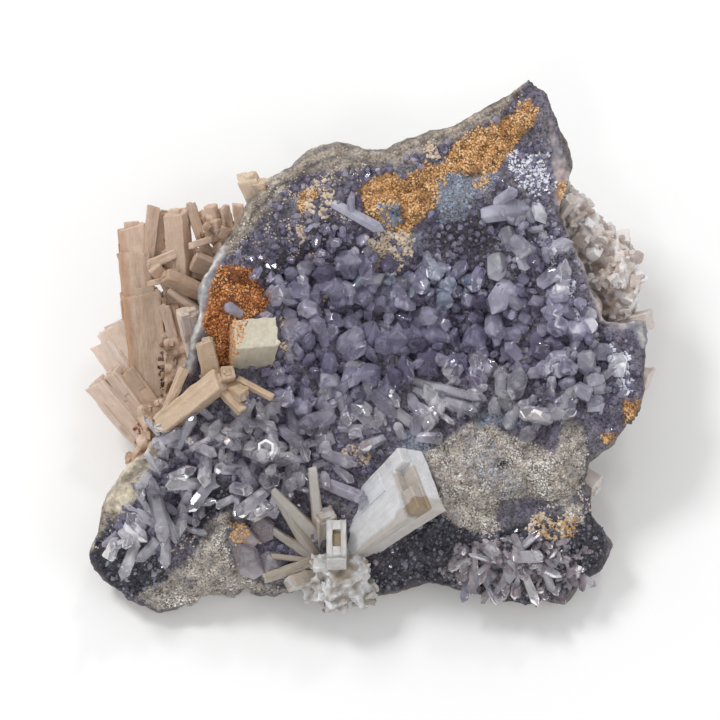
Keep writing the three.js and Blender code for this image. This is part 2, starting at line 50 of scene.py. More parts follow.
outline = [
    [-53.5, -39.5, -3], [-50.5, -30, -1], [-47, -24, 1], [-41.5, -18, 2], [-38.5, -13, 3],
    [-35, -4.5, 4], [-33, 1.5, 4], [-32.2, 10, 4], [-29.5, 17, 4], [-26, 21, 4],
    [-23.5, 27, 4], [-19, 32, 4], [-11.5, 36.8, 4], [-6, 38.4, 3], [-0.5, 37, 3],
    [3, 36.8, 3], [7, 39.2, 3], [16, 42.3, 3], [26, 47.5, 4], [30, 51, 4],
    [33, 48, 4], [36.8, 38, 4], [37.5, 31, 3], [35.5, 25.5, 3], [38, 20.5, 3],
    [41.5, 12, 3], [44.2, 5, 2], [51.5, 5, 0], [52.3, 0.5, 0], [51.3, -12, 0],
    [46, -18, 0], [41.5, -21.5, 0], [41, -25.5, -1], [43, -32.5, -2], [45.8, -37, -3],
    [43.6, -42, -4], [37, -48.7, -5], [29.5, -49, -5], [22, -48, -5], [13.5, -45.6, -5],
    [0.5, -46.2, -5], [-13.5, -47, -5], [-20.5, -47.2, -5], [-28, -46.6, -5],
    [-36, -49.8, -5], [-40.5, -50.4, -5], [-46.5, -48.5, -5], [-51, -44, -5],
]

# Lumps and pits of the face: u, v, half width, half height, rise
lumps = [
    [12, 4, 27, 15, -9.5],  # the hollow
    [2, -14, 22, 8, -2.5],
    [-14, 12, 9, 8, -2.5],
    [26, -22, 8, 5, 5],  # granular lumps of the lower lip
    [36, -17, 4, 7, 3.5],
    [16, -26, 9, 6.5, 4],
    [39, -29, 5, 6, 2.5],
    [24.5, -22.5, 2.4, 2.2, -4],
    [4, -20, 4, 4, 1.5],
    [-25.5, 6, 5, 9, 3],  # ochre mass of the left rim
    [-28, -41, 10, 5.5, 3],  # tan mass of the lower left
    [-35, -30, 6, 7, -2.5],
    [6.5, 34, 4, 2.6, 1.8],  # smooth lumps under the top rim
    [15, 26.5, 3.4, 3, 2.6],
    [24, 29, 8, 5, 1.6],
    [21, 18, 4, 5, -1.6],
    [30, -39, 10, 5, 1.5],
    [44, -3, 6, 8, 1.2],
    [0, -47, 50, 7, -3.5],
]


def toRow(points):  # face frame in mm to the row frame in metres
    p = np.asarray(points, float)
    c, s = math.cos(face["tilt"]), math.sin(face["tilt"])
    y = p[..., 1] * c - p[..., 2] * s
    z = p[..., 1] * s + p[..., 2] * c + face["lift"]
    return np.stack([p[..., 0], y, z], -1) / 1000


def toFace(points):  # row frame in metres to the face frame in mm
    p = np.asarray(points, float) * 1000
    c, s = math.cos(face["tilt"]), math.sin(face["tilt"])
    z = p[..., 2] - face["lift"]
    return np.stack([p[..., 0], p[..., 1] * c + z * s, -p[..., 1] * s + z * c], -1)


def ripple(u, v, size, depth):  # the same uneven relief as the solid's
    bend = np.sin(v / size + 0.7) * 1.6
    sway = np.sin(u / size * 0.8 + 2.1) * 1.6
    return depth * np.sin(u / size * 1.3 + bend) * np.cos(v / size * 1.2 + sway)


def faceHeight(u, v):
    w = (np.asarray(v) + 50) * 0.03
    for lumpU, lumpV, halfWidth, halfHeight, rise in lumps:
        w = w + rise * np.exp(-((u - lumpU) / halfWidth) ** 2 - ((v - lumpV) / halfHeight) ** 2)
    return w + ripple(u, v, 5, 0.9) + ripple(u + 9, v, 2.1, 0.4)


def rimTable():  # radius and height of the rim by angle
    corners = []
    for here, there in zip(outline, outline[1:] + outline[:1]):
        parts = math.ceil(math.hypot(there[0] - here[0], there[1] - here[1]) / face["rimStep"])
        for k in range(parts):
            u, v, w = (a + (b - a) * k / parts for a, b in zip(here, there))
            reach = 1 + ripple(u, v, 2.3, face["rimJag"]) / math.hypot(u, v)
            corners.append([u * reach, v * reach, w])
    rows = []
    for here, there in zip(corners, corners[1:] + corners[:1]):
        for k in range(face["rimParts"]):
            u, v, w = (a + (b - a) * k / face["rimParts"] for a, b in zip(here, there))
            rows.append([math.atan2(v, u), math.hypot(u, v), w])
    return np.array(sorted(rows)).T


rimAngle, rimRadius, rimHeight = rimTable()


def rimShare(u, v):  # 0 in the middle of the face, 1 on the rim
    angle = np.arctan2(v, u)
    radius = np.interp(angle, rimAngle, rimRadius, period=2 * math.pi)
    return np.hypot(u, v) / radius, radius, angle


def plateHeight(u, v):
    u, v = np.asarray(u, float), np.asarray(v, float)
    share, _, angle = rimShare(u, v)
    rim = np.interp(angle, rimAngle, rimHeight, period=2 * math.pi)
    t = np.clip((1 - share) / face["rimBand"], 0, 1)
    t = t * t * (3 - 2 * t)
    return rim + (faceHeight(u, v) - rim) * t


def plateNormal(u, v, reach=0.8):
    du = (plateHeight(u + reach, v) - plateHeight(u - reach, v)) / (2 * reach)
    dv = (plateHeight(u, v + reach) - plateHeight(u, v - reach)) / (2 * reach)
    n = np.stack([-du, -dv, np.ones_like(du)], -1)
    return n / np.linalg.norm(n, axis=-1, keepdims=True)


def roughness(points, size, octaves, seed):  # about -1 to 1, with features of this many mm
    shift = Vector((seed * 7.3, seed * 3.1, seed * 5.7))
    return np.array([noise.fractal(Vector(p) / size + shift, 1, 2, octaves) for p in points])


def flatPoints(u, v):
    return np.stack([u, v, np.zeros_like(u)], -1)


def edgeDistance(u, v, polygon):  # mm inside a polygon, negative outside
    inside = np.zeros(u.shape, bool)
    nearest = np.full(u.shape, 1e9)
    for (au, av), (bu, bv) in zip(polygon, polygon[1:] + polygon[:1]):
        crosses = (av > v) != (bv > v)
        with np.errstate(divide="ignore", invalid="ignore"):
            at = (bu - au) * (v - av) / (bv - av) + au
        inside ^= crosses & (u < at)
        span = (bu - au) ** 2 + (bv - av) ** 2
        t = np.clip(((u - au) * (bu - au) + (v - av) * (bv - av)) / span, 0, 1)
        nearest = np.minimum(nearest, np.hypot(u - au - t * (bu - au), v - av - t * (bv - av)))
    return np.where(inside, nearest, -nearest)


# Areas of the face, as outlines in mm of the face frame
areas = {
    "orange": [
        [[-2.1, 30], [0.8, 32.3], [3.8, 33.4], [6.1, 31.9], [10.6, 34.6], [13.3, 34.6], [16.5, 39.1],
         [21.9, 42], [26.8, 44.3], [30, 46.9], [31.7, 44.3], [30.6, 42], [28.1, 39.3], [23.8, 33.4],
         [21.5, 30.2], [18.6, 32.5], [14.1, 33.2], [13.7, 29.3], [10.6, 25.1], [6.8, 21.5], [4.2, 22.4],
         [2.3, 23.4], [-0.8, 25.1]],
        [[-13.6, 29], [-10.8, 31], [-9, 30], [-11.4, 27.5], [-13.2, 25]],
        [[48, -9.6], [51.4, -9.8], [50.8, -14.8], [48, -14.2]],
        [[44.4, -16.2], [47, -16.4], [46, -18.4], [44.2, -17.8]],
        [[35.3, 31.3], [37.4, 31], [37.3, 27.8], [35.5, 28.2]],
    ],
    "deepOrange": [
        [[-28.5, 15.8], [-21.7, 15], [-20.2, 10.3], [-19, 8.6], [-22, 5.4], [-23.6, 3], [-24.4, -1.5],
         [-25.4, -3.6], [-28.7, -3.2], [-30.4, 1.3], [-31.7, 4.6], [-30.4, 10.3]],
    ],
    "paleTan": [
        [[0.2, 21.5], [6.6, 22.4], [8.6, 20.4], [7.6, 16.3], [2.9, 12.9], [-1.3, 12.2], [-0.8, 16.7]],
        [[-17.4, 6], [-11.6, 6], [-11.4, -2], [-16.8, -2.2]],
        [[-5.3, -18.4], [-1.7, -18], [-0.8, -21.6], [-3, -22.6], [-5, -21.6]],
        [[-22.6, -34.4], [-19.6, -34.2], [-19.4, -36.6], [-22.6, -36.8]],
        [[30, -31.5], [36.8, -32], [36.6, -36.4], [30, -35.4]],
    ],
    "lowerTan": [
        [[10.6, -20.1], [16.2, -16.2], [20.1, -13.8], [27.2, -17], [35.2, -20.1], [36.7, -13.9],
         [39.9, -14.6], [41, -20.1], [40.4, -25.7], [37, -28.9], [33.6, -28.6], [30.4, -28.1], [25, -28.6],
         [23.6, -31.4], [24.5, -34.4], [21.7, -35.5], [16.2, -33.6], [12.9, -30.4], [12.2, -25.7]],
        [[-44.8, -47.5], [-38.8, -43.7], [-32.7, -38.4], [-31.7, -34.2], [-27.9, -31], [-25.8, -31],
         [-27.4, -34.2], [-27.6, -37], [-25.3, -41.8], [-21.9, -44.5], [-15, -46.6], [-20.5, -47],
         [-26, -47], [-34.8, -49.6], [-41, -50]],
        [[36.4, -29.2], [40.2, -29.6], [40.4, -33], [37.4, -33.2]],
    ],
    "whiteSugar": [
        [[25.7, 36.5], [29, 37.6], [33.6, 36], [34.4, 30], [31, 28.6], [26.5, 30.5]],
        [[31.5, 22], [35.5, 20.5], [34.5, 15.5], [31.5, 17]],
        [[35, 14.5], [38.4, 12], [42.6, 4], [39.5, 3.5], [36, 8]],
        [[45, 0], [49.6, -1], [50.4, -10], [48.6, -8], [46.4, -3.6]],
    ],
    "blueCrust": [
        [[12.7, 31.9], [15.6, 33.3], [19, 32.3], [25, 33.4], [22.4, 29.6], [19, 28.1], [18.1, 24.3],
         [13.3, 23.9], [12.5, 28.1]],
        [[1.2, 26.6], [5.9, 27.4], [5.5, 23.9], [2.6, 23]],
        [[6.8, 21.6], [9.8, 22], [9.6, 19.4], [7, 19.4]],
        [[6, -16.4], [11.4, -15.8], [12, -19.4], [6.2, -21]],
        [[19.4, -12.4], [27.6, -12], [28, -14.8], [20, -15]],
    ],
    "darkWall": [
        [[13.3, 23.9], [19, 25.3], [24.7, 23.9], [24.7, 16.3], [20.9, 13.9], [16.2, 14.8], [11.8, 20.5]],
        [[-20.5, 17], [-12, 20], [-8, 26], [-3, 22], [-4, 14], [-14, 11.5], [-21, 12]],
    ],
    "speckled": [
        [[-27, 18], [-22, 26], [-16, 31], [-6, 34], [0, 33], [-1, 26], [-6, 23], [-10, 20], [-14, 17],
         [-21, 15]],
        [[-13, 8], [-8, 12], [-6, 10], [-9, 6]],
        [[36, -24], [40, -24], [42, -32], [36, -36], [30, -34], [34, -29]],
        [[-34, -24], [-30, -30], [-33, -36], [-38, -38], [-42, -36], [-38, -28]],
    ],
    "rind": [
        [[-27.6, 16.3], [-24.7, 19.6], [-20.5, 25.3], [-16.2, 30], [-13.3, 31.9], [-7.6, 33.4],
         [-1.9, 34.2], [4.8, 34.6], [11.4, 37.6], [19, 40.9], [25.7, 44.8], [28.5, 47.5], [30, 53],
         [10, 46], [-6, 42], [-22, 34], [-29, 22], [-31.5, 14]],
        [[-41, -18.4], [-39.5, -19.8], [-46, -29.8], [-50.2, -37.4], [-51.3, -41.3], [-55, -40],
         [-51.5, -29.8], [-45, -20], [-42, -16.4]],
    ],
    "smoothBand": [
        [[-29, 19.6], [-27, 18.6], [-29.8, 11], [-31.2, 3.4], [-33.3, -4.6], [-36.4, -4.6], [-34.1, 3.4],
         [-33.5, 9], [-31.5, 16.3]],
        [[34, 43], [35, 28], [37.4, 22], [40.6, 14], [43.4, 5.6], [44.8, 3.4], [50, 3.6], [51.6, 0],
         [55, 0], [53, 8], [43, 10], [39, 30]],
    ],
    "creamRim": [
        [[-41.2, -16.8], [-39.2, -19.4], [-43.6, -27.4], [-46.4, -31.4], [-51.4, -31.4], [-46, -21]],
    ],
    "darkRed": [
        [[-40.8, -1.4], [-35.6, -1], [-34.4, -5], [-37.6, -10.4], [-40.6, -9.4]],
    ],
    "rustyFoot": [
        [[-45.2, -15.2], [-42, -15], [-41.6, -19.8], [-44.8, -19.4]],
    ],
    "goldPatch": [
        [[-26.4, -33.6], [-23.4, -33.2], [-22.8, -35.6], [-24.6, -36.6], [-26.2, -35.8]],
        [[31.6, -33], [39, -32.6], [39.4, -35.6], [35, -36.2], [31.4, -35.2]],
    ],
    "greyLump": [
        [[18.6, -16.4], [23.6, -18], [26, -22.6], [29.4, -27], [26.6, -28.4], [20.6, -26.4], [17.6, -21.4]],
    ],
    "lowerDruse": [
        [[0, -32], [12, -30], [22, -36], [30, -33], [44, -30], [46, -44], [30, -49], [0, -47], [-4, -40]],
        [[-54, -40], [-49.5, -33], [-40, -40], [-38.5, -44], [-44.5, -48], [-50, -46]],
        [[-38, -31], [-33, -38], [-31.5, -33.5], [-27.5, -30.5], [-25, -26], [-30, -24], [-35, -26]],
    ],
}
# Bare spots in the ochre crust and rings of tan grains: u, v, radius
orangeHoles = [[2.1, 29.1, 0.8], [10.3, 28.5, 1.5], [5.5, 25.1, 1.9], [22.4, 40.5, 0.6], [20, 33.4, 1.4],
               [-26.4, 7.6, 1.9], [-25.5, 13.5, 1.3], [28.7, 41, 1]]
tanRings = [[-9.3, 16, 1.7], [-8.5, 9.7, 1.3], [11.6, 37, 0.7], [-9.8, 28, 2.3], [-14, 22, 1.1]]


def areaDepth(name, u, v):  # mm inside the nearest outline of an area
    return np.max([edgeDistance(u, v, polygon) for polygon in areas[name]], 0)


def ringDepth(u, v):
    return np.max([0.6 - np.abs(np.hypot(u - a, v - b) - r) for a, b, r in tanRings], 0)


def holeDepth(u, v):
    return np.max([r - np.hypot(u - a, v - b) for a, b, r in orangeHoles], 0)


# Meshes joined from many turned copies of a few small shapes


def startRandom(seed):
    return np.random.default_rng(seed)


def addAttributes(mesh, **named):  # one number, three or a colour for each vertex
    for name, values in named.items():
        values = np.asarray(values, np.float32)
        if values.ndim == 1:
            mesh.attributes.new(name, "FLOAT", "POINT").data.foreach_set("value", values)
        elif values.shape[1] == 3:
            mesh.attributes.new(name, "FLOAT_VECTOR", "POINT").data.foreach_set("vector", values.ravel())
        else:
            mesh.color_attributes.new(name, "FLOAT_COLOR", "POINT").data.foreach_set("color", values.ravel())


def linkPiece(name, mesh, material, sharpDegrees=None):
    obj = bpy.data.objects.new(name, mesh)
    bpy.context.scene.collection.objects.link(obj)
    mesh.materials.clear()
    mesh.materials.append(material)
    smooth = sharpDegrees is not None
    mesh.polygons.foreach_set("use_smooth", np.full(len(mesh.polygons), smooth))
    if smooth and sharpDegrees < 180:
        mesh.set_sharp_from_angle(angle=math.radians(sharpDegrees))
    mesh.update()
    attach(obj, "root")
    print(name, len(mesh.polygons), "faces")
    return obj


def meshFrom(bm, name):
    mesh = bpy.data.meshes.new(name)
    bm.to_mesh(mesh)
    bm.free()
    return mesh


def meshPlaces(mesh):
    co = np.empty(len(mesh.vertices) * 3)
    mesh.vertices.foreach_get("co", co)
    normal = np.empty(len(mesh.vertices) * 3)
    mesh.vertex_normals.foreach_get("vector", normal)
    return co.reshape(-1, 3), normal.reshape(-1, 3)


def setPlaces(mesh, co):
    mesh.vertices.foreach_set("co", np.asarray(co, np.float32).ravel())
    mesh.update()


def remeshed(source, voxelMm):  # one closed even mesh of everything in source
    obj = bpy.data.objects.new("work", source)
    bpy.context.scene.collection.objects.link(obj)
    modifier = obj.modifiers.new("remesh", "REMESH")
    modifier.mode = "VOXEL"
    modifier.voxel_size = voxelMm / 1000
    bpy.context.view_layer.update()
    mesh = bpy.data.meshes.new_from_object(obj.evaluated_get(bpy.context.evaluated_depsgraph_get()))
    bpy.data.objects.remove(obj)
    return mesh


def arraysOf(bm):  # vertices and triangles of a small shape
    bmesh.ops.recalc_face_normals(bm, faces=bm.faces[:])
    bmesh.ops.triangulate(bm, faces=bm.faces[:])
    bm.verts.ensure_lookup_table()
    verts = np.array([v.co for v in bm.verts], float)
    faces = np.array([[v.index for v in f.verts] for f in bm.faces])
    bm.free()
    return verts, faces


def drawSizes(limits, power, count, random):  # more of them near the low limit
    low, high = limits
    return low + (high - low) * random.random(count) ** power


def axesAlong(directions, random):  # a frame along each direction, rolled about it
    rolls = random.uniform(0, 6.28, len(directions))
    d = directions / np.linalg.norm(directions, axis=1, keepdims=True)
    helper = np.where(np.abs(d[:, 2:]) < 0.9, [[0.0, 0.0, 1.0]], [[1.0, 0.0, 0.0]])
    x = np.cross(helper, d)
    x /= np.linalg.norm(x, axis=1, keepdims=True)
    y = np.cross(d, x)
    c, s = np.cos(rolls)[:, None], np.sin(rolls)[:, None]
    return np.stack([x * c + y * s, y * c - x * s, d], -1)


def joinParts(name, places, faces, **named):  # one mesh of many parts, each with its arrays
    mesh = bpy.data.meshes.new(name)
    mesh.from_pydata(places, [], np.concatenate(faces))
    addAttributes(mesh, **{key: np.concatenate(values) for key, values in named.items()})
    return mesh


def joinCopies(name, shapes, places, axes, sizes, random, points=None):
    choice = random.integers(0, len(shapes), len(places))
    tint = np.clip(random.normal(0.5, 0.25, len(places)), 0, 1)
    verts, faces, local, tints, rises, start = [], [], [], [], [], 0
    for index, (shapeVerts, shapeFaces) in enumerate(shapes):
        chosen = np.flatnonzero(choice == index)
        if not len(chosen):
            continue
        here = np.repeat(shapeVerts[None], len(chosen), 0)
        if points is not None:  # what is above 1 is the pointed end, which keeps its own length
            z = here[..., 2]
            long = sizes[chosen, 2, None]
            here[..., 2] = np.where(z > 0.5, long + (z - 1) * points[chosen, None], z * long)
            here[..., :2] *= sizes[chosen, None, :2]
        else:
            here = here * sizes[chosen, None, :]
        world = np.einsum("nij,nvj->nvi", axes[chosen], here) + places[chosen, None, :]
        verts.append(world.reshape(-1, 3))
        rises.append(np.clip(here[..., 2] / sizes[chosen, 2, None], 0, 1).ravel())
        local.append((here + chosen[:, None, None] * 3.7).reshape(-1, 3))
        offsets = start + np.arange(len(chosen)) * len(shapeVerts)
        faces.append((shapeFaces[None] + offsets[:, None, None]).reshape(-1, 3))
        tints.append(np.repeat(tint[chosen], len(shapeVerts)))
        start += len(chosen) * len(shapeVerts)
    return joinParts(name, toRow(np.concatenate(verts)), faces, localPos=local, tint=tints, rise=rises)


jitter = 0.45  # of the spacing


def scatter(spacing, random, keep, pastRim=False):  # jittered points of the face where keep says so
    us, vs = np.arange(-55, 55, spacing), np.arange(-52, 53, spacing * 0.87)
    u, v = np.meshgrid(us, vs)
    u = (u + (np.arange(len(vs)) % 2)[:, None] * spacing / 2).ravel()
    v = v.ravel()
    u = u + random.uniform(-jitter, jitter, u.shape) * spacing
    v = v + random.uniform(-jitter, jitter, v.shape) * spacing
    inside = (rimShare(u, v)[0] < 0.99) | pastRim
    u, v = u[inside], v[inside]
    ok = keep(u, v)
    return u[ok], v[ok]


# Heights in mm: where a ray starts, what it says when nothing is below, and the lowest ground that counts
drop = {"from": 60, "missed": -99, "lowest": -50}


def groundTree(meshes):  # what the grains and crystals stand on
    verts, polygons, start = [], [], 0
    for mesh in meshes:
        verts += [tuple(p) for p in toFace(meshPlaces(mesh)[0])]
        polygons += [[start + k for k in p.vertices] for p in mesh.polygons]
        start += len(mesh.vertices)
    return BVHTree.FromPolygons(verts, polygons)


def dropTo(tree, u, v):  # height of the ground under each point
    down = Vector((0, 0, -1))
    hits = [tree.ray_cast(Vector((a, b, drop["from"])), down)[0] for a, b in zip(u, v)]
    return np.array([drop["missed"] if hit is None else hit.z for hit in hits])


# Materials


def hexColor(text):
    raw = np.array([int(text[k:k + 2], 16) for k in (1, 3, 5)]) / 255
    linear = np.where(raw <= 0.04045, raw / 12.92, ((raw + 0.055) / 1.055) ** 2.4)
    return (*linear, 1.0)


def addNode(tree, kind, settings=None, links=None):
    node = tree.nodes.new("ShaderNode" + kind)
    for key, value in (settings or {}).items():
        if key == "stops":
            elements = node.color_ramp.elements
            while len(elements) < len(value):
                elements.new(0.5)
            for element, (place, color) in zip(elements, value):
                element.position = place
                element.color = hexColor(color)
        else:
            setattr(node, key, value)
    for key, value in (links or {}).items():
        socket = node.inputs[key]
        if isinstance(value, bpy.types.Node):
            value = next(out for out in value.outputs if out.enabled)
        if isinstance(value, bpy.types.NodeSocket):
            tree.links.new(value, socket)
        else:
            socket.default_value = value
    return node


def startMaterial(name, **values):
    material = bpy.data.materials.new(name)
    material.use_nodes = True
    tree = material.node_tree
    shader = tree.nodes["Principled BSDF"]
    for key, value in values.items():
        shader.inputs[key].default_value = value
    return material, tree, shader


blend = {"data_type": "FLOAT"}
tinted = {"data_type": "RGBA"}
multiply = {"data_type": "RGBA", "blend_type": "MULTIPLY"}


def rockMaterial():  # broken chalcedony: dull and gritty where it is weathered, waxy on its bands
    material, tree, shader = startMaterial("weathered chalcedony", IOR=1.54)
    place = addNode(tree, "TexCoord").outputs["Object"]
    tone = addNode(tree, "Attribute", {"attribute_name": "tone"}).outputs["Color"]
    grit = addNode(tree, "Attribute", {"attribute_name": "grit"}).outputs["Fac"]
    patterns = [addNode(tree, "TexNoise", links={"Vector": place, "Scale": 1000 / size, "Detail": detail})
                for size, detail in rock["patterns"]]
    clouds, specks = (node.outputs["Fac"] for node in patterns)
    mottle = addNode(tree, "ValToRGB", {"stops": rock["mottle"]}, {"Fac": clouds})
    speckle = addNode(tree, "ValToRGB", {"stops": rock["speckle"]}, {"Fac": specks})
    mottled = addNode(tree, "Mix", multiply, {0: 0.85, 6: tone, 7: mottle})
    gritty = addNode(tree, "Mix", multiply, {0: grit, 6: mottled, 7: speckle})
    dull = addNode(tree, "MapRange", links={"Value": grit, "To Min": 0.36, "To Max": 0.8})
    tree.links.new(gritty.outputs[2], shader.inputs["Base Color"])
    tree.links.new(dull.outputs["Result"], shader.inputs["Roughness"])
    coarse = addNode(tree, "Bump", links={"Height": clouds, "Distance": 0.5 * mm, "Strength": 0.6})
    fine = addNode(tree, "Bump", links={"Height": specks, "Distance": 0.25 * mm, "Strength": grit,
                                        "Normal": coarse})
    tree.links.new(fine.outputs["Normal"], shader.inputs["Normal"])
    return material


def grainMaterial(name, stops, patchMm, patchShare):  # a crust of tiny grains, each with its own shade
    material, tree, shader = startMaterial(name, Roughness=0.72, IOR=1.55)
    place = addNode(tree, "TexCoord").outputs["Object"]
    tint = addNode(tree, "Attribute", {"attribute_name": "tint"}).outputs["Fac"]
    patch = addNode(tree, "TexNoise", links={"Vector": place, "Scale": 1000 / patchMm, "Detail": 4})
    shade = addNode(tree, "Mix", blend, {0: patchShare, 2: tint, 3: patch.outputs["Fac"]})
    color = addNode(tree, "ValToRGB", {"stops": stops}, {"Fac": shade})
    tree.links.new(color.outputs["Color"], shader.inputs["Base Color"])
    return material


def quartzMaterial(name, shades, clear, density, absorb, rough=0.05, at=(0.15, 0.45, 0.85)):
    # quartz: glassy faces over a lilac body, see-through at the tip and milky where veils cross it
    values = {"Roughness": rough, "IOR": 1.544, "Transmission Weight": clear}
    material, tree, shader = startMaterial(name, **values)
    local = addNode(tree, "Attribute", {"attribute_name": "localPos"}).outputs["Vector"]
    attributes = [addNode(tree, "Attribute", {"attribute_name": key}) for key in ("tint", "rise")]
    tint, rise = (node.outputs["Fac"] for node in attributes)
    veil = addNode(tree, "TexNoise", links={"Vector": local, "Scale": 1 / 2.2, "Detail": 2}).outputs["Fac"]
    shade = addNode(tree, "Mix", blend, {0: 0.15, 2: tint, 3: veil})
    color = addNode(tree, "ValToRGB", {"stops": list(zip(at, shades))}, {"Fac": shade})
    tree.links.new(color.outputs["Color"], shader.inputs["Base Color"])
    glassy = addNode(tree, "MapRange", links={"Value": veil, "From Min": 0.5, "From Max": 0.62,
                                              "To Min": clear, "To Max": clear * 0.8})
    rooted = addNode(tree, "MapRange", links={"Value": rise, "To Min": 0.4, "To Max": 1})
    weight = addNode(tree, "Math", {"operation": "MULTIPLY"}, {0: glassy, 1: rooted})
    tree.links.new(weight.outputs["Value"], shader.inputs["Transmission Weight"])
    body = addNode(tree, "VolumeAbsorption", links={"Color": hexColor(absorb), "Density": density})
    tree.links.new(body.outputs["Volume"], tree.nodes["Material Output"].inputs["Volume"])
    return material


# Size in mm, detail and roughness of the patterns of anhydrite, and whether they run along the prism
anhydritePatterns = [(0.9, 5, 0.7, True), (2.6, 6, 0.68, False), (0.4, 4, 0.5, True), (0.45, 4, 0.5, False)]


def anhydriteMaterial(name, shades, film, filmShare, rough, at=(0.28, 0.43, 0.56, 0.72)):
    # anhydrite: waxy and a little see-through, grooved along the prism, with rusty films in places
    values = {"Roughness": rough, "IOR": 1.57, "Subsurface Weight": 0.25, "Subsurface Scale": 1.5 * mm}
    material, tree, shader = startMaterial(name, **values)
    shader.inputs["Subsurface Radius"].default_value = (1.0, 0.8, 0.6)
    local = addNode(tree, "Attribute", {"attribute_name": "localPos"}).outputs["Vector"]
    attributes = [addNode(tree, "Attribute", {"attribute_name": key}) for key in ("tint", "stain")]
    tint, worn = (node.outputs["Fac"] for node in attributes)
    along = addNode(tree, "Mapping", links={"Vector": local, "Scale": (1, 1, 0.14)}).outputs["Vector"]
    patterns = []
    for size, detail, uneven, grooved in anhydritePatterns:
        links = {"Vector": along if grooved else local, "Scale": 1 / size, "Detail": detail,
                 "Roughness": uneven}
        patterns.append(addNode(tree, "TexNoise", links=links).outputs["Fac"])
    streak, blotch, lines, pits = patterns
    pattern = addNode(tree, "Mix", blend, {0: 0.5, 2: streak, 3: blotch})
    shade = addNode(tree, "Mix", blend, {0: 0.55, 2: tint, 3: pattern})
    base = addNode(tree, "ValToRGB", {"stops": list(zip(at, shades))}, {"Fac": shade})
    patches = addNode(tree, "MapRange", links={"Value": blotch, "From Min": 0.66 - filmShare,
                                               "From Max": 0.78 - filmShare, "To Min": 0, "To Max": 0.65})
    stainMix = addNode(tree, "Mix", blend, {0: 0.35, 2: worn, 3: streak})
    stained = addNode(tree, "MapRange", links={"Value": stainMix, "From Min": 0.26, "From Max": 0.7,
                                               "To Min": 0, "To Max": 0.9})
    covered = addNode(tree, "Math", {"operation": "MAXIMUM"}, {0: patches, 1: stained})
    color = addNode(tree, "Mix", tinted, {0: covered, 6: base, 7: hexColor(film)})
    tree.links.new(color.outputs[2], shader.inputs["Base Color"])
    groove = addNode(tree, "Bump", links={"Height": lines, "Distance": 0.2 * mm, "Strength": 0.8})
    pitted = addNode(tree, "Bump", links={"Height": pits, "Distance": 0.16 * mm, "Strength": 0.7,
                                          "Normal": groove})
    tree.links.new(pitted.outputs["Normal"], shader.inputs["Normal"])
    return material


# The plate of rock

rock = {
    "voxel": 0.65, "slab": 9, "lump": 0.5, "grit": 0.18, "inset": 0.93, "cells": (110, 106), "halfSide": 55,
    "lilac": "#8b879d", "grey": "#9c9aa1", "rind": "#d0c2b0", "pale": "#ece6dc", "brown": "#75614d",
    "side": "#8c847a", "green": "#767b6c", "orange": "#d8a56f", "dark": "#5c5864", "blue": "#aeb0b9",
    # one colour here is painted shade: the near-black one darkens the bottom of the pit in the lower lip,
    # around the spot given below
    "crust": "#ddd7d0", "pitShade": "#2f2f38", "rose": "#c6afaa", "rust": "#ad6a3c", "cream": "#f2e6cc",
    "patterns": [(1.5, 5), (0.45, 3)],  # size in mm and detail of the clouds and of the specks
    "mottle": [(0.3, "#807e84"), (0.5, "#cccacd"), (0.7, "#fffdf8")],
    "speckle": [(0.34, "#8a8279"), (0.5, "#dedbd8"), (0.66, "#ffffff")],
    "pitShadeSpot": (24.7, -22.2), "roseFrom": 34,
}


def addSlab(bm):  # fills the solid's pockets up to the face
    across, up = rock["cells"]
    made = bmesh.ops.create_grid(bm, x_segments=across, y_segments=up, size=rock["halfSide"])["verts"]
    u, v = np.array([p.co.x for p in made]), np.array([p.co.y for p in made])
    inside = rimShare(u, v)[0] < rock["inset"]
    for vert, place in zip(made, toRow(np.stack([u, v, plateHeight(u, v)], -1))):
        vert.co = place
    bmesh.ops.delete(bm, geom=[p for p, keep in zip(made, inside) if not keep], context="VERTS")
    low = bmesh.ops.extrude_face_region(bm, geom=bm.faces[:])["geom"]
    down = Vector(toRow((0, 0, -rock["slab"])) - toRow((0, 0, 0)))
    bmesh.ops.translate(bm, vec=down, verts=[g for g in low if isinstance(g, bmesh.types.BMVert)])
    bmesh.ops.recalc_face_normals(bm, faces=bm.faces[:])


def rockSource():
    solid = bmesh.new()
    solid.from_mesh(frame["nodes"]["matrix"].data)
    bmesh.ops.remove_doubles(solid, verts=solid.verts[:], dist=mm / 1000)
    bm = bmesh.new()
    addSlab(bm)
    bm.from_mesh(meshFrom(solid, "solidCopy"))
    return meshFrom(bm, "rockSource")


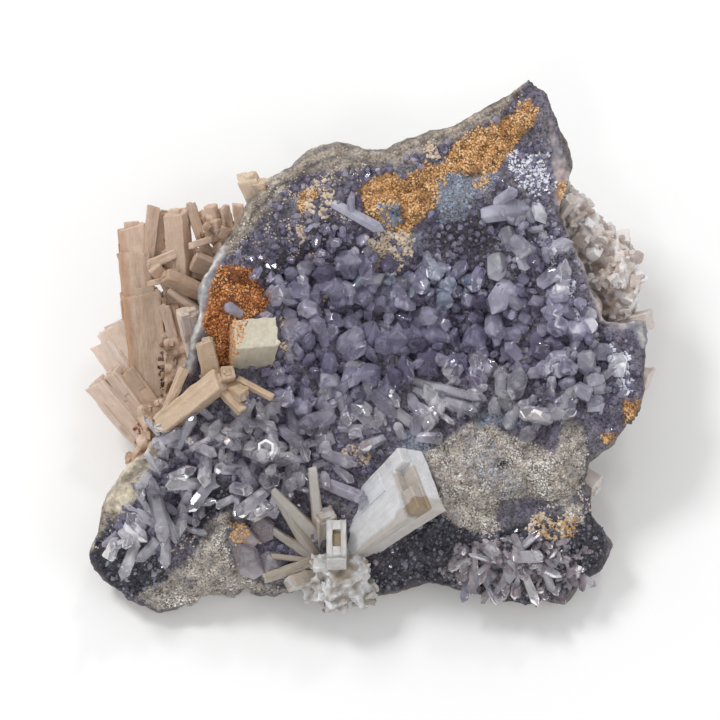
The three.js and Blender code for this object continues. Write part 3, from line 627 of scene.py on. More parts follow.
def makeRock():
    mesh = remeshed(rockSource(), rock["voxel"])
    co, normal = meshPlaces(mesh)
    place = co * 1000
    u, v, w = toFace(co).T
    share, radius, _ = rimShare(u, v)
    facing = normal @ (toRow([0, 0, 1000]) - toRow([0, 0, 0]))
    front = (facing > 0.3) & (share < 0.985) & (w > plateHeight(u, v) - 2)
    lump = roughness(place, 4.2, 3, 1) * rock["lump"]
    grit = roughness(place, 1.4, 3, 7) * rock["grit"]
    crusty = np.clip(areaDepth("lowerTan", u, v) + 0.6, 0, 1)
    ochre = np.clip(np.maximum(areaDepth("orange", u, v), areaDepth("deepOrange", u, v)) + 0.4, 0, 1)
    knobs = roughness(place, 4.6, 2, 14) * 2.6 + roughness(place, 2, 3, 4) * 1.1
    lumpy = knobs * crusty + (roughness(place, 2.2, 3, 9) + 0.15) * ochre * 1.5
    relief = lump + grit + lumpy
    banding = np.clip(areaDepth("rind", u, v), 0, 1) * 0.2 * np.sin((1 - share) * radius * 5.2)
    w = np.where(front, plateHeight(u, v) + relief + banding, w)
    pushed = np.where(front, 0, relief) * np.clip((place[:, 2] - 0.4) / 1.5, 0, 1)
    co = toRow(np.stack([u, v, w], -1)) + normal * pushed[:, None] / 1000
    co[:, 2] = np.maximum(co[:, 2], 0)
    setPlaces(mesh, co)

    wander = roughness(place, 6, 4, 3)
    streaks = roughness(place * [1, 1, 3.5], 5, 4, 21)
    edge = (1 - share) * radius + wander * 0.5
    onFace = np.clip(facing * 3, 0, 1)
    offFace = 1 - onFace

    def zone(name, steep, start, uneven=0):  # 1 inside an area and 0 outside it, with a soft edge
        return np.clip(areaDepth(name, u, v) * steep + start + wander * uneven, 0, 1)

    def bands(perMm, turn):
        return np.sin(edge * perMm + turn)

    rind = zone("rind", 0.7, 0.4, 1) * (w > -6)
    band = zone("smoothBand", 2, 0.5)
    cream = zone("creamRim", 2, 0.6, 1)
    pitShadeU, pitShadeV = rock["pitShadeSpot"]
    layers = [
        ("grey", 0.3 + wander),
        ("side", 1.1 - facing * 1.7),
        ("grey", offFace * (streaks * 2 + 0.2)),
        ("rind", offFace * (roughness(place, 8, 3, 5) * 2.2 + 0.2)),
        ("brown", offFace * (roughness(place, 5, 3, 11) * 2 - 0.4)),
        ("green", offFace * np.clip(-v / 40, 0, 1) * 0.5),
        ("dark", zone("darkWall", 1, 0.5, 1) * 0.8),
        ("rind", rind),
        ("pale", rind * np.clip(bands(4.2, wander) * 0.6 + wander, 0, 1)),
        ("grey", rind * np.clip(bands(2.6, 2) - 0.2, 0, 1) * 0.8),
        ("brown", rind * np.clip(bands(3.4, 1) - 0.3, 0, 1) * 0.6),
        ("blue", band),
        ("rose", band * (u > rock["roseFrom"]) * np.clip(0.5 + wander, 0, 1)),
        ("pale", band * np.clip(1.1 - np.abs(edge - 0.3) / 0.45, 0, 1) * (w > 0)),
        ("orange", zone("orange", 2, 0.6) * onFace),
        ("rust", zone("deepOrange", 2, 0.6) * onFace),
        ("blue", zone("blueCrust", 2, 0.5) * onFace),
        ("dark", zone("lowerDruse", 2, 0.5) * onFace),
        ("crust", zone("lowerTan", 2, 0.7)),
        ("cream", cream),
        # painted shade: near-black at the bottom of the pit in the lower lip, fading out over about a
        # millimetre
        ("pitShade", 1.3 - np.hypot(u - pitShadeU, v - pitShadeV) / 1.1),
    ]
    tone = np.repeat(np.array(hexColor(rock["lilac"]))[None], len(co), 0)
    for name, weight in layers:
        tone = tone + (np.array(hexColor(rock[name])) - tone) * np.clip(weight, 0, 1)[:, None]
    addAttributes(mesh, tone=tone, grit=np.clip(1 - band * onFace - 0.5 * cream - 0.25 * rind, 0, 1))
    obj = linkPiece("rockPlate", mesh, rockMaterial(), 180)
    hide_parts("matrix")
    return obj


# Crusts of grains: size in mm, how far the edge wanders, lines of grains (lace) and patches of one shade
grains = {
    "ochreGrains": {"area": "orange", "spacing": 0.4, "size": (0.34, 0.66), "edge": 1.2, "seed": 11,
                    "shades": [(0.2, "#b5814c"), (0.4, "#d9a76d"), (0.56, "#e7bd88"), (0.8, "#f6e3c2")]},
    "rustGrains": {"area": "deepOrange", "spacing": 0.4, "size": (0.34, 0.66), "edge": 0.9, "seed": 12,
                   "shades": [(0.2, "#8c4c26"), (0.4, "#bd723a"), (0.56, "#d59656"), (0.82, "#efcfa4")]},
    "paleTanGrains": {"area": "paleTan", "spacing": 0.46, "size": (0.45, 1.1), "edge": 1.2, "seed": 13,
                      "shades": [(0.1, "#ad9a86"), (0.45, "#d3bfa6"), (0.85, "#eee4d6")]},
    "crustGrains": {"area": "lowerTan", "spacing": 0.4, "size": (0.28, 0.56), "edge": 1.2, "seed": 14,
                    "patch": (4.4, 0.86),
                    "shades": [(0.36, "#878792"), (0.45, "#b5a899"), (0.53, "#d5cfc7"), (0.66, "#f2f0ed")]},
    "greyLumpGrains": {"area": "greyLump", "spacing": 0.44, "size": (0.3, 0.62), "edge": 1.6, "seed": 19,
                       "patch": (2, 0.7),
                       "shades": [(0.36, "#676a77"), (0.5, "#989cab"), (0.64, "#d6d6db")]},
    "sugarGrains": {"area": "whiteSugar", "spacing": 0.4, "size": (0.34, 0.85), "edge": 1.5, "seed": 15,
                    "shades": [(0.1, "#bcbfd0"), (0.45, "#dfe1ec"), (0.85, "#fbfcff")]},
    "blueGrains": {"area": "blueCrust", "spacing": 0.46, "size": (0.34, 0.8), "edge": 1.0, "seed": 16,
                   "shades": [(0.1, "#586379"), (0.5, "#8390a6"), (0.9, "#c9d0de")]},
    "rindGrains": {"area": "rind", "spacing": 0.6, "size": (0.22, 0.5), "edge": 2.6, "seed": 17,
                   "lace": 2.2, "shades": [(0.15, "#a89d90"), (0.5, "#c8bfb3"), (0.9, "#ebe5dc")]},
    "wallSpecks": {"area": "speckled", "spacing": 0.42, "size": (0.25, 0.6), "edge": 4, "seed": 18,
                   "lace": 3.4, "shades": [(0.1, "#ab9d8a"), (0.5, "#cdc0ac"), (0.9, "#f0e9de")]},
    "darkRedGrains": {"area": "darkRed", "spacing": 0.46, "size": (0.4, 0.95), "edge": 0.8, "seed": 20,
                      "onAll": True, "below": -3,
                      "shades": [(0.2, "#2c1a1c"), (0.5, "#4d2f30"), (0.8, "#8d6a64")]},
    "footGrains": {"area": "rustyFoot", "spacing": 0.46, "size": (0.4, 0.9), "edge": 1.4, "seed": 22,
                   "onAll": True, "below": -2,
                   "shades": [(0.2, "#6e3520"), (0.5, "#a5603a"), (0.8, "#d3a27c")]},
    "goldGrains": {"area": "goldPatch", "spacing": 0.4, "size": (0.4, 0.85), "edge": 0.9, "seed": 21,
                   "onAll": True, "shades": [(0.2, "#a57c4c"), (0.5, "#cba271"), (0.8, "#ecd8b8")]},
}
grainForm = {"shapes": 5, "uneven": (0.75, 1.25), "sunk": (-0.22, 0.02), "patch": (3.4, 0.68)}


def grainShapes():  # rough little grains about one unit across
    shapes = []
    random = startRandom(3)
    for _ in range(grainForm["shapes"]):
        bm = bmesh.new()
        bmesh.ops.create_icosphere(bm, subdivisions=1, radius=0.5)
        for vert in bm.verts:
            vert.co *= random.uniform(*grainForm["uneven"])
        shapes.append(arraysOf(bm))
    return shapes


def makeGrains(ground, everything):
    shapes = grainShapes()
    for name, settings in grains.items():
        random = startRandom(settings["seed"])
        tree = everything if "onAll" in settings else ground

        def keep(u, v):
            depth = areaDepth(settings["area"], u, v)
            if settings["area"] == "paleTan":
                depth = np.maximum(depth, ringDepth(u, v))
            depth = depth + roughness(flatPoints(u, v), 2.4, 3, settings["seed"]) * settings["edge"]
            if settings["area"] in ("orange", "deepOrange"):
                depth = np.minimum(depth, -holeDepth(u, v))
            if "lace" in settings:  # grains along winding lines
                lines = np.abs(roughness(flatPoints(u, v), settings["lace"], 2, settings["seed"] + 1))
                depth = np.minimum(depth, 0.5 - lines * 2.4)
            return random.random(u.shape) < np.clip(depth * 2 + 0.5, 0, 1)

        u, v = scatter(settings["spacing"], random, keep, "onAll" in settings)
        w = dropTo(tree, u, v)
        stands = (w > drop["lowest"]) & (w < settings.get("below", drop["from"]))
        u, v, w = u[stands], v[stands], w[stands]
        count = len(u)
        places = np.stack([u, v, w + random.uniform(*grainForm["sunk"], count)], -1)
        size = drawSizes(settings["size"], 2, count, random)
        sizes = size[:, None] * random.uniform(*grainForm["uneven"], (count, 3))
        axes = axesAlong(random.normal(size=(count, 3)), random)
        mesh = joinCopies(name, shapes, places, axes, sizes, random)
        patchMm, patchShare = settings.get("patch", grainForm["patch"])
        linkPiece(name, mesh, grainMaterial(name, settings["shades"], patchMm, patchShare))


# Quartz

quartzFields = {  # spacing, width, length over width, lean, where they point, outline, finish
    "hollowQuartz": {
        "spacing": 2.4, "width": (2, 5.2), "long": (0.35, 1.2), "lean": 0.5, "aim": (0, 0.1, 1),
        "finish": "hollow", "seed": 31,
        "area": [[-20.5, 11], [-13.3, 16.3], [-1.9, 17.6], [11.4, 14.5], [24.7, 14.3], [35.1, 13.8],
                 [40.4, 8.1], [42.2, 0.6], [37, -4.6], [26, -5], [10, -6.5], [3, -9], [-3.8, -12],
                 [-13.3, -12], [-20.5, -8], [-21.8, -4], [-19.5, 1.5]]},
    "wallQuartz": {
        "spacing": 2.6, "width": (1.1, 3.0), "long": (0.5, 1.6), "lean": 0.6, "aim": (0, -0.2, 1),
        "finish": "hollow", "seed": 32,
        "area": [[-22.6, 10], [-21.1, 16.3], [-17.7, 20], [-13, 26], [-6, 27], [-2.9, 21], [5, 17.5],
                 [10, 19], [12, 17], [26, 16], [29, 24], [35, 27], [35.6, 16], [24.7, 14.3], [-1.9, 16.6],
                 [-13.3, 15.3]]},
    # crystals coloured with a blue painted sheen, which stands for the sheen on their smooth faces
    "paintedSheenQuartz": {
        "spacing": 2.5, "width": (2, 4.4), "long": (0.4, 1.1), "lean": 0.5, "aim": (0, 0.1, 1),
        "finish": "paintedSheen", "seed": 37,
        "area": [[-6.5, 10.5], [-2, 15.4], [6, 16.6], [14, 15.6], [21, 13.4], [19, 9], [9, 8.4], [1, 8]]},
    "paleQuartz": {
        "spacing": 2.5, "width": (1.6, 4.6), "long": (0.5, 1.5), "lean": 0.6, "aim": (0.1, 0.1, 1),
        "finish": "pale", "seed": 33,
        "area": [[25, 27], [34, 26], [36.2, 16], [42, 5], [43.5, 0], [47, -2], [48, -9], [44, -13],
                 [36, -11], [31, -7], [36, -2], [37, 8], [31, 16], [24.5, 18]]},
    "lipQuartz": {
        "spacing": 2.6, "width": (1.5, 3.6), "long": (1.0, 2.6), "lean": 0.75, "aim": (0, -0.3, 0.8),
        "finish": "clear", "seed": 34,
        "area": [[-22, -8], [-10, -11], [2, -9], [14, -6], [30, -6], [40, -8], [38, -14], [28, -13.5],
                 [19, -12.5], [10, -14], [3, -17], [-6, -18], [-6, -28], [-14, -26], [-24, -20],
                 [-27, -12]]},
    "cornerQuartz": {
        "spacing": 2.5, "width": (1.3, 3.2), "long": (1.4, 3.3), "lean": 0.85, "aim": (-0.2, -0.25, 0.8),
        "finish": "clear", "seed": 35,
        "area": [[-40.3, -16.6], [-35.2, -14.3], [-28.1, -9.9], [-20.5, -10.9], [-12, -20], [-9, -27],
                 [-20.5, -30.7], [-25.7, -28.8], [-30.5, -29.7], [-34.1, -34.4], [-41.8, -39.3], [-48, -39],
                 [-48.3, -35.5], [-45.9, -29.8], [-42.7, -23.2]]},
    "clusterQuartz": {
        "spacing": 1.5, "width": (0.9, 2.0), "long": (0.8, 2.2), "lean": 1.0, "aim": (0, -0.15, 0.8),
        "finish": "rosy", "seed": 36,
        "area": [[14, -41], [18, -37], [24, -35.6], [33, -35.5], [40, -39], [42.5, -43], [35, -47],
                 [26, -47.5], [17, -45.6]]},
}

# Prisms drawn one by one: root u and v, tip u and v, rise over the face, width
drawnQuartz = {
    "wallDrawn": {"finish": "pale", "seed": 41, "rows": [
        [-7, 27.5, 3.4, 21.7, 2.6, 2.7], [-3.6, 24.7, -3.6, 30, 3, 2.5],
        [-12.9, 11.8, -12.9, 16.7, 2.6, 2.6], [-15.6, 9.1, -16.9, 12.5, 4, 3.6],
        [-3, 16, -3, 19.4, 2.5, 2.4], [-6, 14, -5.6, 17, 2.5, 2.6], [0, 16.5, -0.8, 19.6, 2.5, 2],
        [11, 14.4, 11, 18.8, 2.5, 2.5], [23.8, 27.5, 28.1, 30, 3, 2.6], [21.5, 25.3, 31.4, 26.8, 2.5, 4.2],
        [27, 20, 26.6, 23.6, 4, 6], [30, 16, 29, 21, 3.6, 5.4], [24, 14, 24.6, 19, 3, 4.4],
        [31.5, 27, 33.6, 22, 2.4, 3.6], [-2, 11.6, 3.6, 15.2, 1.8, 4.2], [4.4, 11.6, 9.6, 14.6, 1.8, 3.6],
        [-19.5, 9.8, -13.4, 8.4, 3.5, 1.6], [-24.5, 6.2, -27.6, 8.4, 4, 2.4]]},
    "frontDrawn": {"finish": "clear", "seed": 42, "rows": [
        [-3.8, -4.6, -0.8, -2.7, 5, 4.8], [-0.2, -5.1, 6.1, -12.2, 3.5, 3], [0.9, -15.2, -3.8, -10.3, 4, 3],
        [-4.4, -9.5, -4.5, -15.5, 3, 2.8], [-8.6, -8.9, -6.8, -6.8, 5, 4.4],
        [-8.4, -13.5, -8.4, -9.5, 4, 1.6], [-9.3, -19.8, -9.3, -14, 4, 3], [8.2, -6.1, 22, -10.3, 3.5, 2.8],
        [8.6, -8.2, 21.3, -12.4, 3, 2.6], [12, -11.4, 16.2, -14.8, 3.5, 1.5],
        [25.7, -7, 24.3, -1.9, 5, 4.6], [27.6, -8.9, 28.5, -3.2, 5.5, 4.4], [26.5, -10.5, 23.4, -8.6, 5, 4],
        [30.8, -4.9, 36.1, -3.8, 4, 3.8], [41.2, -6.8, 42, -2.2, 3, 2.6], [42.8, -6.8, 47, -3.2, 2.5, 1.8],
        [36.4, -9.5, 40.4, -8.8, 3, 2.6], [38.2, -12, 38.6, -8, 3, 2.4], [28.3, -12.9, 37.4, -12.2, 3.5, 3],
        [29.5, -17, 31, -15, 4, 3.4], [8.9, -16.5, 8.9, -10.6, 4, 3.4], [9.4, -17.1, 14.6, -17.1, 3.5, 2.7],
        [-22.2, -9.9, -25.7, -16.3, 4, 2.2], [-22.6, -14.1, -16.9, -15.4, 4, 2.7],
        [-14.3, -20.5, -14.3, -15.5, 4, 2.4], [-30, -17, -28.3, -12.6, 5, 3.8],
        [-31.7, -14.8, -23.4, -19.4, 4, 3], [-19, -25.4, -19, -23, 4.5, 5], [-20, -31, -20, -28.6, 5, 4.4],
        [-35.5, -16.5, -38.6, -19, 3, 3.2], [-39.3, -25.3, -32.5, -22.4, 4, 2.8],
        [-40.7, -18.5, -33.6, -15, 2.5, 3.6], [-41, -23, -38.5, -21, 3, 3]]},
    "cornerDrawn": {"finish": "rosy", "seed": 43, "rows": [
        [-21.9, -42.4, -25.6, -36.6, 5, 6], [-22.8, -37.4, -27.4, -33, 5, 5.6],
        [-20, -35.6, -20.8, -31, 5, 5], [-18.5, -43, -19.5, -37.8, 4, 4.6]]},
    "cornerPrisms": {"finish": "clear", "seed": 45, "rows": [
        [-41.4, -27, -38, -38, 4.5, 3.4], [-38.8, -36, -38.8, -42.4, 3.5, 2.2],
        [-35.7, -30, -35.7, -36.2, 3.5, 3], [-33.2, -30.8, -33, -34, 3, 1.8],
        [-47, -34.5, -42.5, -38.6, 3.5, 3.4], [-46, -33.4, -41.6, -37, 4, 3],
        [-44, -35, -47, -38, 3.5, 3.2], [-43, -34, -46, -31, 3, 2.6], [-39.4, -30, -36.4, -37.4, 4.5, 2.2],
        [-36.6, -26, -33.4, -31.4, 4, 2.4], [-44, -28, -41, -31.6, 4, 2.2]]},
    "lowerRightDrawn": {"finish": "clear", "seed": 44, "rows": [
        [24.9, -39.7, 34, -39.3, 4, 2.7], [28.5, -38.4, 32.1, -34, 4, 2.4], [20, -40, 13.9, -42.2, 3.5, 2],
        [20.4, -42, 19, -47.2, 3.5, 2.2], [19, -43.5, 17.3, -49.4, 1.5, 2.2],
        [26.4, -40, 26.4, -46, 5, 3.2], [29, -42, 32.1, -49.8, 2.5, 2.8], [23, -42, 22, -46.4, 4, 3],
        [24, -39.5, 21.6, -36.6, 4, 3], [34, -41, 36, -40.4, 4, 2.4], [38, -42, 41, -42.6, 2.5, 2.2],
        [28, -43, 27.6, -48.6, 2, 2], [26.6, -41.6, 23.6, -47.6, 3.4, 1.8],
        [25.4, -41, 18, -38.6, 3.8, 1.9], [30, -40.6, 37, -43.6, 3.6, 2],
        [29.4, -39.6, 26.6, -34.6, 4, 1.8], [33, -42, 35.4, -47.4, 2.6, 2.2],
        [21.6, -44, 24.6, -49.4, 1.6, 1.8]]},
}

# Shades of the faces, how clear, how strongly the body absorbs
quartzFinishes = {
    "hollow": {"shades": ("#8a839f", "#b0abc9", "#e0dcf0"), "absorb": "#b7b0d6", "density": 35,
               "clear": 0.7},
    "clear": {"shades": ("#bfbbcb", "#d9d6e1", "#f8f7fb"), "absorb": "#c9c4dc", "density": 15,
              "clear": 0.82},
    "pale": {"shades": ("#bbb9d0", "#dad8e9", "#f8f8ff"), "absorb": "#c0bedb", "density": 18, "clear": 0.7},
    # a blue painted sheen, given as the crystals' own colour
    "paintedSheen": {"shades": ("#98a2bc", "#bcc5da", "#e8edf8"), "absorb": "#b9c4de", "density": 18, "clear": 0.6},
    "rosy": {"shades": ("#b1a5ae", "#ccc1c8", "#e9e3ea"), "absorb": "#c6b6bf", "density": 45, "clear": 0.72},
    "frosted": {"shades": ("#c4c3cc", "#e0dfe6", "#ffffff"), "absorb": "#d5d3e0", "density": 20,
                "clear": 0.3, "rough": 0.35},
    "dark": {"shades": ("#43444e", "#626370", "#b4b5c4"), "absorb": "#8f90a4", "density": 120,
             "clear": 0.4, "at": (0.15, 0.5, 0.9)},
}

druses = {
    "hollowDruse": {
        "spacing": 1.23, "width": (0.7, 1.7), "finish": "hollow", "seed": 51,
        "clearOf": ("orange", "deepOrange", "lowerTan", "rind", "smoothBand", "lowerDruse", "blueCrust"),
        "area": [[-29, 17], [-24, 22], [-19, 28], [-13, 32], [-5, 34], [5, 36], [12, 38], [22, 43], [30, 48],
                 [35, 36], [35, 27], [42, 11], [51, 3], [51, -11], [44, -17], [38, -13], [20, -13], [8, -17],
                 [4, -24], [-5, -32], [-16, -44], [-27, -30], [-40, -40], [-50, -40], [-50, -33], [-40, -17],
                 [-30, -8], [-23, -5], [-22, 10]]},
    "clusterDruse": {
        "spacing": 0.8, "width": (0.7, 1.5), "finish": "rosy", "seed": 53, "clearOf": ("lowerTan",),
        "area": [[13, -42], [17, -38.6], [24, -36.4], [33, -36], [38, -39], [40, -43], [35, -48],
                 [26, -48.6], [17, -47]]},
    "lowerDruse": {
        "spacing": 0.78, "width": (0.6, 1.3), "finish": "dark", "seed": 52, "clearOf": ("lowerTan",)},
}

# The prisms' shape: worn edges, and the foot, thickness and point as shares of the width
quartzForm = {"shapes": 10, "worn": 0.045, "foot": 0.85, "flatter": (0.6, 1.05), "point": (0.45, 0.8)}
# How they stand, in mm: depth of the roots, least or added length, the uneven edge of an area, how far they
# grow into a crust, and from which rise over the rock the ground is a crystal. A point takes up pointShare
# of the width, and a direction has this much of the rock's normal and at least this much upward.
drawnForm = {"sunk": 0.6, "pointShare": 0.7, "least": 0.5, "missedRise": 2}
fieldForm = {"sunk": 0.5, "patch": 4, "wander": 1.5, "intoCrust": 0.2, "power": 1.6, "added": 0.6,
             "normal": 0.6, "upward": 0.3}
druseForm = {"sunk": 0.3, "patch": 3, "intoCrust": 0.1, "power": 2, "lean": 0.4, "long": (0.2, 0.7)}
crystalRise = 1.8


def quartzShapes(edge):  # six-sided prisms, 1 long, with a point of six uneven faces above that
    shapes = []
    random = startRandom(5)
    for _ in range(quartzForm["shapes"]):
        bm = bmesh.new()
        bmesh.ops.create_cone(bm, cap_ends=True, segments=6, radius1=0.5, radius2=0.5, depth=2)
        bmesh.ops.translate(bm, verts=bm.verts[:], vec=(0, 0, 1))
        for side in range(6):
            turn = math.radians(60 * side + 30)
            cut = random.uniform(0, 0.55) if side % 2 else random.uniform(0, 0.2)
            out = Vector((math.cos(turn), math.sin(turn), 0.433))
            everything = bm.verts[:] + bm.edges[:] + bm.faces[:]
            bmesh.ops.bisect_plane(bm, geom=everything, dist=1e-4, plane_co=(0, 0, 2 - cut), plane_no=out,
                                   clear_outer=True)
            bmesh.ops.holes_fill(bm, edges=[e for e in bm.edges if e.is_boundary])
        if edge:  # worn edges, which catch the light
            bmesh.ops.bevel(bm, geom=bm.edges[:], offset=edge, affect="EDGES", segments=1, profile=0.5,
                            material=-1)
        for vert in bm.verts:
            if vert.co.z < 0.1:
                vert.co.xy *= quartzForm["foot"]
        shapes.append(arraysOf(bm))
    return shapes


def addQuartz(name, shapes, roots, directions, width, long, random, finish):
    point = width * random.uniform(*quartzForm["point"], len(width))
    sizes = np.stack([width, width * random.uniform(*quartzForm["flatter"], len(width)), long], -1)
    mesh = joinCopies(name, shapes, roots, axesAlong(directions, random), sizes, random, point)
    return linkPiece(name, mesh, finish)


def bareRock(tree, u, v, crusts, limit):  # off these crusts and off the crystal that stands on the rock
    depth = np.max([areaDepth(crust, u, v) for crust in crusts], 0)
    return (depth < limit) & (dropTo(tree, u, v) - plateHeight(u, v) <= crystalRise)


def rootedAt(tree, u, v, sunk):  # points this far under the ground
    return np.stack([u, v, dropTo(tree, u, v) - sunk], -1)


def drawQuartz(tree, name, settings, shapes, finish):  # the prisms of a drawn group
    random = startRandom(settings["seed"])
    rootU, rootV, tipU, tipV, rise, width = np.array(settings["rows"], float).T
    roots = rootedAt(tree, rootU, rootV, drawnForm["sunk"])
    tips = rootedAt(tree, tipU, tipV, -rise)
    tips[:, 2] = np.where(tips[:, 2] < drop["lowest"], roots[:, 2] + drawnForm["missedRise"], tips[:, 2])
    directions = tips - roots
    long = np.linalg.norm(directions, axis=1) - width * drawnForm["pointShare"]
    long = np.maximum(long, drawnForm["least"])
    return addQuartz(name, shapes, roots, directions, width, long, random, finish)


def growField(tree, name, settings, shapes, finish):  # prisms scattered over an area
    random = startRandom(settings["seed"])

    def keep(u, v):
        wander = roughness(flatPoints(u, v), fieldForm["patch"], 2, settings["seed"]) * fieldForm["wander"]
        inside = edgeDistance(u, v, settings["area"]) + wander > 0
        return inside & bareRock(tree, u, v, ("orange", "deepOrange", "lowerTan"), fieldForm["intoCrust"])

    u, v = scatter(settings["spacing"], random, keep)
    width = drawSizes(settings["width"], fieldForm["power"], len(u), random)
    long = width * random.uniform(*settings["long"], len(u)) + fieldForm["added"]
    directions = plateNormal(u, v) * fieldForm["normal"] + settings["aim"]
    directions = directions + random.normal(0, settings["lean"], (len(u), 3))
    directions[:, 2] = np.maximum(directions[:, 2], fieldForm["upward"])
    roots = rootedAt(tree, u, v, fieldForm["sunk"])
    addQuartz(name, shapes, roots, directions, width, long, random, finish)


def growDruse(tree, name, settings, shapes, finish):  # a crust of tiny prisms
    random = startRandom(settings["seed"])

    def keep(u, v):
        wander = roughness(flatPoints(u, v), druseForm["patch"], 2, settings["seed"])
        own = edgeDistance(u, v, settings["area"]) if "area" in settings else areaDepth(name, u, v)
        return (own + wander > 0) & bareRock(tree, u, v, settings["clearOf"], druseForm["intoCrust"])

    u, v = scatter(settings["spacing"], random, keep)
    width = drawSizes(settings["width"], druseForm["power"], len(u), random)
    directions = plateNormal(u, v) + random.normal(0, druseForm["lean"], (len(u), 3))
    roots = rootedAt(tree, u, v, druseForm["sunk"])
    long = width * random.uniform(*druseForm["long"], len(u))
    addQuartz(name, shapes, roots, directions, width, long, random, finish)


def makeQuartz(tree):
    shapes, fineShapes = quartzShapes(quartzForm["worn"]), quartzShapes(0)
    finishes = {key: quartzMaterial(key + " quartz", **values) for key, values in quartzFinishes.items()}
    drawn = [makeHexagon(tree, finishes["frosted"])]
    for name, settings in drawnQuartz.items():
        obj = drawQuartz(tree, name, settings, shapes, finishes[settings["finish"]])
        drawn.append(obj.data)
        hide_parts("quartz_lower_right" if name == "lowerRightDrawn" else "quartz_crust")
    for name, settings in quartzFields.items():
        growField(tree, name, settings, shapes, finishes[settings["finish"]])
    for name, settings in druses.items():
        growDruse(tree, name, settings, fineShapes, finishes[settings["finish"]])
    return drawn


hexagon = {"place": (-17.5, -19.6), "width": 3.4, "wall": 0.5, "rise": 8.2, "pit": 1.6, "lean": (-0.25, 0.1),
           "sunk": 0.8, "chip": 0.25}


def makeHexagon(tree, finish):  # the broken prism with a hollow, frosted end
    u, v = hexagon["place"]
    low = dropTo(tree, [u], [v])[0] - hexagon["sunk"]
    bm = bmesh.new()
    bmesh.ops.create_cone(bm, cap_ends=True, segments=6, radius1=0.5, radius2=0.5, depth=1)
    bmesh.ops.scale(bm, verts=bm.verts[:], vec=(hexagon["width"], hexagon["width"], hexagon["rise"]))
    top = [f for f in bm.faces if f.normal.z > 0.9]
    bmesh.ops.inset_region(bm, faces=top, thickness=hexagon["wall"], depth=0)
    pit = bmesh.ops.extrude_face_region(bm, geom=top)["geom"]
    bmesh.ops.delete(bm, geom=top, context="FACES_ONLY")
    pitVerts = [g for g in pit if isinstance(g, bmesh.types.BMVert)]
    bmesh.ops.translate(bm, verts=pitVerts, vec=(0, 0, -hexagon["pit"]))
    bmesh.ops.recalc_face_normals(bm, faces=bm.faces[:])
    random = startRandom(71)
    leanU, leanV = hexagon["lean"]
    for vert in bm.verts:
        height = vert.co.z + hexagon["rise"] / 2
        chip = random.uniform(-hexagon["chip"], hexagon["chip"]) if height > hexagon["rise"] * 0.9 else 0
        place = (u + vert.co.x + leanU * height, v + vert.co.y + leanV * height, low + height + chip)
        vert.co = toRow(place)
    mesh = meshFrom(bm, "hollowHexagon")
    count = len(mesh.vertices)
    addAttributes(mesh, localPos=toFace(meshPlaces(mesh)[0]), tint=np.ones(count), rise=np.zeros(count))
    linkPiece("hollowHexagon", mesh, finish)
    return mesh


